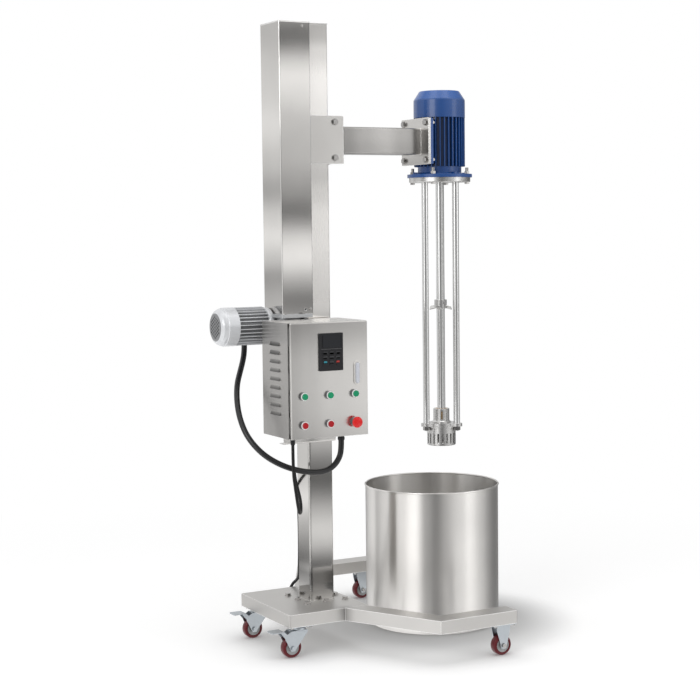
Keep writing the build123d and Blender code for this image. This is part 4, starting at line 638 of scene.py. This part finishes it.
class MIXER_OT_control_box(bpy.types.Operator):
    """Dress the control box, its door, keypad, latch and buttons"""
    bl_idname = "mixer.control_box"
    bl_label = "Control box"

    def execute(self, context):
        steel = context.scene.mixer_look.steel
        # Painted shade in the louvres' hoods and on the strip of the shell behind the door
        hood_shade = ("X", [(-0.8155, 0.16), (-0.8125, 0.3), (-0.8106, 0.55), (-0.8101, 1), (-0.5, 1)], "LINEAR")
        door_gap_shade = ("Y", [(-0.31, 0.28), (-0.2912, 0.28), (-0.2905, 1), (-0.08, 1)], "LINEAR")
        dress(brushed("box_steel", [c * 1.06 for c in steel], (1, 1, 0.02), low=0.2, high=0.26, strength=0.02,
                      along="XY", tones=[hood_shade, door_gap_shade]), "control_box_shell")
        dress(brushed("rail_steel", steel, (0.03, 1, 1), low=0.25, high=0.35, painted_glint=0.5), "box_mounting_rails")
        # Painted shade on the door's folds behind its face; its face is painted paler to the right and darker towards
        # the top, with painted highlights on its left and top edges
        fold_shade = ("Y", [(-0.310, 1), (-0.3078, 1), (-0.3066, 0.3), (-0.28, 0.24)], "LINEAR")
        face = ("X", [(-0.8101, 1.35), (-0.8065, 1.35), (-0.805, 0.84), (-0.74, 0.97), (-0.65, 1.14), (-0.5, 1.24)])
        top_shade_and_highlight = ("Z", [(0.8, 1.04), (1.08, 1), (1.221, 0.78), (1.2235, 1.3), (1.23, 1.3)])
        dress(brushed("door_steel", steel, (1, 1, 0.02), low=0.16, high=0.22, strength=0.02, along="XY",
                      tones=[fold_shade, face, top_shade_and_highlight]), "control_box_door")
        dress(painted("switchgear", (0.30, 0.31, 0.32), 0.5, scale=200), "box_mounting_plate")
        dress(painted("keypad_plastic", (0.009, 0.009, 0.011), 0.35, scale=600, strength=0.1, shine=0.3),
              "drive_keypad")
        dress(two_tone("button_collar", "Y", COLLAR_FRONT, (0.78, 0.78, 0.78), (0.10, 0.10, 0.105), 0.3),
              "button_collars")
        cap = {"scale": 500, "strength": 0.03, "shine": 0.3}
        dress(painted("green_cap", (0.0, 0.25, 0.11), 0.3, coat=0.1, **cap), *GREEN_BUTTONS)
        dress(painted("red_cap", (0.36, 0.003, 0.008), 0.3, coat=0.1, **cap), *RED_BUTTONS)
        dress(painted("stop_cap", (0.66, 0.008, 0.008), 0.28, coat=0.2, **cap), "emergency_stop")
        dress(painted("latch_grey", (0.6, 0.62, 0.68), 0.22, scale=400, strength=0.03, metallic=0.4, coat=0.4),
              "latch_lever")
        self.keypad_face()
        return {"FINISHED"}

    @staticmethod
    def keypad_face():
        """Display window, divider and three rows of three keys on the keypad."""
        left, top, front = BOX_LEFT + 0.113, BOX_TOP - 0.039, KEYPAD_FRONT
        window = painted("keypad_window", (0.012, 0.013, 0.016), 0.12, scale=50, strength=0.0, coat=0.2, shine=0.2)
        grey = painted("keypad_key", (0.03, 0.031, 0.034), 0.4, scale=600, shine=0.3)
        teal = painted("keypad_teal", (0.02, 0.22, 0.28), 0.35, scale=600)
        red = painted("keypad_red", (0.35, 0.02, 0.015), 0.35, scale=600)
        line = painted("keypad_line", (0.12, 0.12, 0.125), 0.35, scale=600)
        mesh = bmesh.new()
        slab(mesh, (left + 0.012, front - 0.0006, top - 0.051), (left + 0.084, front + 0.0004, top - 0.006), 0.003)
        slab(mesh, (left + 0.006, front - 0.0003, top - 0.0566), (left + 0.088, front + 0.0003, top - 0.0556),
             material=4)
        coloured = {(0.103, 0.022): 2, (0.103, 0.072): 3}
        for down in (0.070, 0.086, 0.103):
            for across in (0.022, 0.047, 0.072):
                shade = coloured.get((down, across), 1)
                wide, high = (0.0062, 0.0042) if shade > 1 else (0.0085, 0.0050)
                slab(mesh, (left + across - wide, front - 0.0012, top - down - high),
                     (left + across + wide, front + 0.0002, top - down + high), high * 0.6, material=shade)
        mesh_object("keypad_face", mesh, [window, grey, teal, red, line], "door")


class MIXER_OT_stage(bpy.types.Operator):
    """Lay the floor and set the light"""
    bl_idname = "mixer.stage"
    bl_label = "Stage"

    def execute(self, context):
        self.floor(context)
        self.world(context)
        self.lights(context)
        context.scene.view_settings.view_transform = "Standard"
        return {"FINISHED"}

    @staticmethod
    def floor(context):
        """Pale floor with painted shade from ambient occlusion close to the machine and a painted shadow round the
        tank's foot, that fades to white far out.
        """
        mesh = bmesh.new()
        bmesh.ops.create_grid(mesh, x_segments=1, y_segments=1, size=context.scene.mixer_stage.floor)
        data = bpy.data.meshes.new("floor")
        mesh.to_mesh(data)
        mesh.free()
        floor = in_scene("floor", data)
        material, tree, shader = new_material("floor_white")
        place = object_place(tree)
        # Painted shade close to the machine, from ambient occlusion
        near = add(tree, "ShaderNodeAmbientOcclusion", {"Distance": 0.17}, samples=8)
        shade = add(tree, "ShaderNodeMapRange", {"Value": near.outputs["AO"], "From Min": 0.5, "To Min": 0.74})
        # Painted shadow in a soft ring round the tank's foot
        from_tank = add(tree, "ShaderNodeVectorMath", {0: place, 1: TANK_SHADOW_CENTRE}, operation="DISTANCE")
        tank_shadow = add(tree, "ShaderNodeMapRange", {"Value": from_tank.outputs["Value"], "From Min": 0.34,
                                               "From Max": 0.62, "To Min": 0.58}, interpolation_type="SMOOTHSTEP")
        both = add(tree, "ShaderNodeMath", {0: tank_shadow.outputs["Result"], 1: shade.outputs["Result"]},
                   operation="MULTIPLY")
        grey = mixed(tree, both.outputs[0], (0, 0, 0), (0.95, 0.95, 0.95))
        fill(tree, shader, {"Base Color": grey, "Emission Color": grey, "Emission Strength": 0.14,
                            "Roughness": 0.9, "Specular IOR Level": 0})
        distance = add(tree, "ShaderNodeVectorMath", {0: place, 1: FLOOR_CENTRE}, operation="DISTANCE")
        far = add(tree, "ShaderNodeMapRange", {"Value": distance.outputs["Value"], "From Min": 1.2,
                                               "From Max": 3.2}, interpolation_type="SMOOTHSTEP")
        white = add(tree, "ShaderNodeEmission")
        blend = add(tree, "ShaderNodeMixShader", {0: far.outputs["Result"], 1: shader.outputs[0],
                                                  2: white.outputs[0]})
        fill(tree, tree.nodes["Material Output"], {"Surface": blend.outputs[0]})
        data.materials.append(material)
        floor.visible_glossy = False

    @staticmethod
    def world(context):
        """Soft studio surroundings: pale, with broad darker bands for the metal to reflect."""
        world = bpy.data.worlds.new("studio")
        context.scene.world = world
        world.use_nodes = True
        tree = world.node_tree
        tree.nodes.clear()
        ray = add(tree, "ShaderNodeTexCoord").outputs["Generated"]
        ways = add(tree, "ShaderNodeSeparateXYZ", {0: ray}).outputs
        height = add(tree, "ShaderNodeMapRange", {"Value": ways["Z"], "From Min": -0.3, "From Max": 0.3})
        angle = add(tree, "ShaderNodeMath", {0: ways["Y"], 1: ways["X"]}, operation="ARCTAN2")
        around = add(tree, "ShaderNodeMapRange", {"Value": angle.outputs[0], "From Min": -math.pi,
                                                  "From Max": math.pi})
        height, around = height.outputs["Result"], around.outputs["Result"]
        # Level bands, from low to high, that the front faces and the left faces reflect
        front = grey_ramp(tree, height,
                          [(0.0, 0.9), (0.095, 0.8), (0.113, 0.3), (0.13, 0.12), (0.141, 0.04), (0.152, 0.12),
                           (0.166, 0.44), (0.187, 0.72), (0.21, 0.44), (0.226, 0.16), (0.239, 0.05), (0.256, 0.2),
                           (0.28, 0.5), (0.33, 0.62), (0.385, 0.54), (0.422, 0.12), (0.4433, 0.45), (0.462, 0.95),
                           (0.487, 0.74), (0.502, 0.22), (0.511, 0.03), (0.53, 0.28), (0.57, 0.48), (0.606, 0.54),
                           (0.63, 0.75), (0.65, 0.94), (0.668, 0.64), (0.682, 0.03), (0.696, 0.05), (0.72, 0.6),
                           (0.8, 0.8), (1.0, 0.8)])
        side = grey_ramp(tree, height,
                         [(0.0, 0.9), (0.118, 0.95), (0.137, 1.0), (0.147, 0.6), (0.158, 0.17), (0.17, 0.26),
                          (0.19, 0.44), (0.2, 0.55), (0.219, 0.84), (0.236, 0.66), (0.26, 0.6), (0.33, 0.62),
                          (0.39, 0.64), (0.4186, 0.49), (0.4475, 0.34), (0.4619, 0.6), (0.487, 0.86), (0.505, 0.71),
                          (0.534, 0.4), (0.5628, 0.6), (0.6, 0.8), (0.635, 0.69), (0.66, 0.63), (0.6926, 0.52),
                          (0.75, 0.6), (1.0, 0.8)])
        # The directions of the left faces' bands, and those of a plain grey straight to the left
        beside = grey_ramp(tree, around, [(0.0, 0.0), (0.72, 0.0), (0.78, 1.0), (0.87, 1.0), (0.93, 0.0)])
        leftmost = grey_ramp(tree, around, [(0.0, 1.0), (0.10, 1.0), (0.14, 0.0), (0.95, 0.0), (0.98, 1.0)])
        rows = mixed(tree, leftmost, mixed(tree, beside, front, side), LEFT_GREY)
        # Upright bands all round
        columns = grey_ramp(tree, around,
                            [(0.0, 0.95), (0.02, 1.0), (0.085, 1.0), (0.104, 0.6), (0.125, 0.36), (0.15, 0.33),
                             (0.17, 0.22), (0.187, 0.18), (0.2, 0.24), (0.232, 0.4), (0.26, 0.54), (0.30, 0.68),
                             (0.322, 0.71), (0.335, 0.78), (0.35, 0.9), (0.38, 0.8), (0.435, 0.6), (0.484, 0.36),
                             (0.52, 0.24), (0.56, 0.2), (0.62, 0.36), (0.67, 0.55), (0.77, 0.6), (0.81, 0.71),
                             (0.835, 0.7), (0.85, 0.34), (0.872, 0.5), (0.9, 0.7), (0.98, 0.88), (1.0, 0.95)])
        bands = mixed(tree, 1, rows, columns, "MULTIPLY")
        bright = add(tree, "ShaderNodeVectorMath", {0: bands, "Scale": REFLECTED}, operation="SCALE")
        # The bands show in reflections alone: other rays meet a plain grey, and the camera sees white
        path = add(tree, "ShaderNodeLightPath").outputs
        lit = mixed(tree, path["Is Glossy Ray"], ROOM_GREY, bright.outputs[0])
        seen = mixed(tree, path["Is Camera Ray"], lit, (1, 1, 1))
        surroundings = add(tree, "ShaderNodeBackground", {"Color": seen})
        add(tree, "ShaderNodeOutputWorld", {"Surface": surroundings.outputs[0]})

    @staticmethod
    def lights(context):
        """Large soft lights: key at the left, fill at the right, one above."""
        key = context.scene.mixer_stage.key
        for name, place, size, power in (("key", (-4.9, -2.5, 3.4), 2.6, key),
                                         ("fill", (3.6, -4.6, 2.4), 2.2, key * 0.25),
                                         ("above", (-0.4, -0.6, 5.2), 3.2, key * 0.55)):
            data = bpy.data.lights.new(name, "AREA")
            data.shape = "SQUARE"
            data.size = size
            data.energy = power
            lamp = in_scene(name, data)
            lamp.location = place
            lamp.rotation_euler = (Vector(LAMP_AIM) - Vector(place)).to_track_quat("-Z", "Y").to_euler()


class MIXER_PT_panel(bpy.types.Panel):
    """Sizes, colours and pieces of the mixer"""
    bl_idname = "MIXER_PT_panel"
    bl_label = "Mixer"
    bl_space_type = "VIEW_3D"
    bl_region_type = "UI"
    bl_category = "Mixer"

    def draw(self, context):
        for group, _ in GROUPS:
            values = getattr(context.scene, group)
            for name in values.__annotations__:
                self.layout.prop(values, name)
        for operator in OPERATORS:
            self.layout.operator(operator.bl_idname)


OPERATORS = (MIXER_OT_camera, MIXER_OT_cords, MIXER_OT_stand, MIXER_OT_wheels, MIXER_OT_drive, MIXER_OT_carriage,
             MIXER_OT_head, MIXER_OT_control_box, MIXER_OT_stage)
GROUPS = (("mixer_look", MixerLook), ("mixer_cords", MixerCords), ("mixer_stage", MixerStage))


def register():
    for name, group in GROUPS:
        bpy.utils.register_class(group)
        setattr(bpy.types.Scene, name, bpy.props.PointerProperty(type=group))
    for cls in (*OPERATORS, MIXER_PT_panel):
        bpy.utils.register_class(cls)


def unregister():
    for cls in reversed((*OPERATORS, MIXER_PT_panel)):
        bpy.utils.unregister_class(cls)
    for name, group in reversed(GROUPS):
        delattr(bpy.types.Scene, name)
        bpy.utils.unregister_class(group)


def main():
    """Make every piece in order."""
    register()
    for operator in OPERATORS:
        area, name = operator.bl_idname.split(".")
        getattr(getattr(bpy.ops, area), name)()


if __name__ == "__main__":
    main()
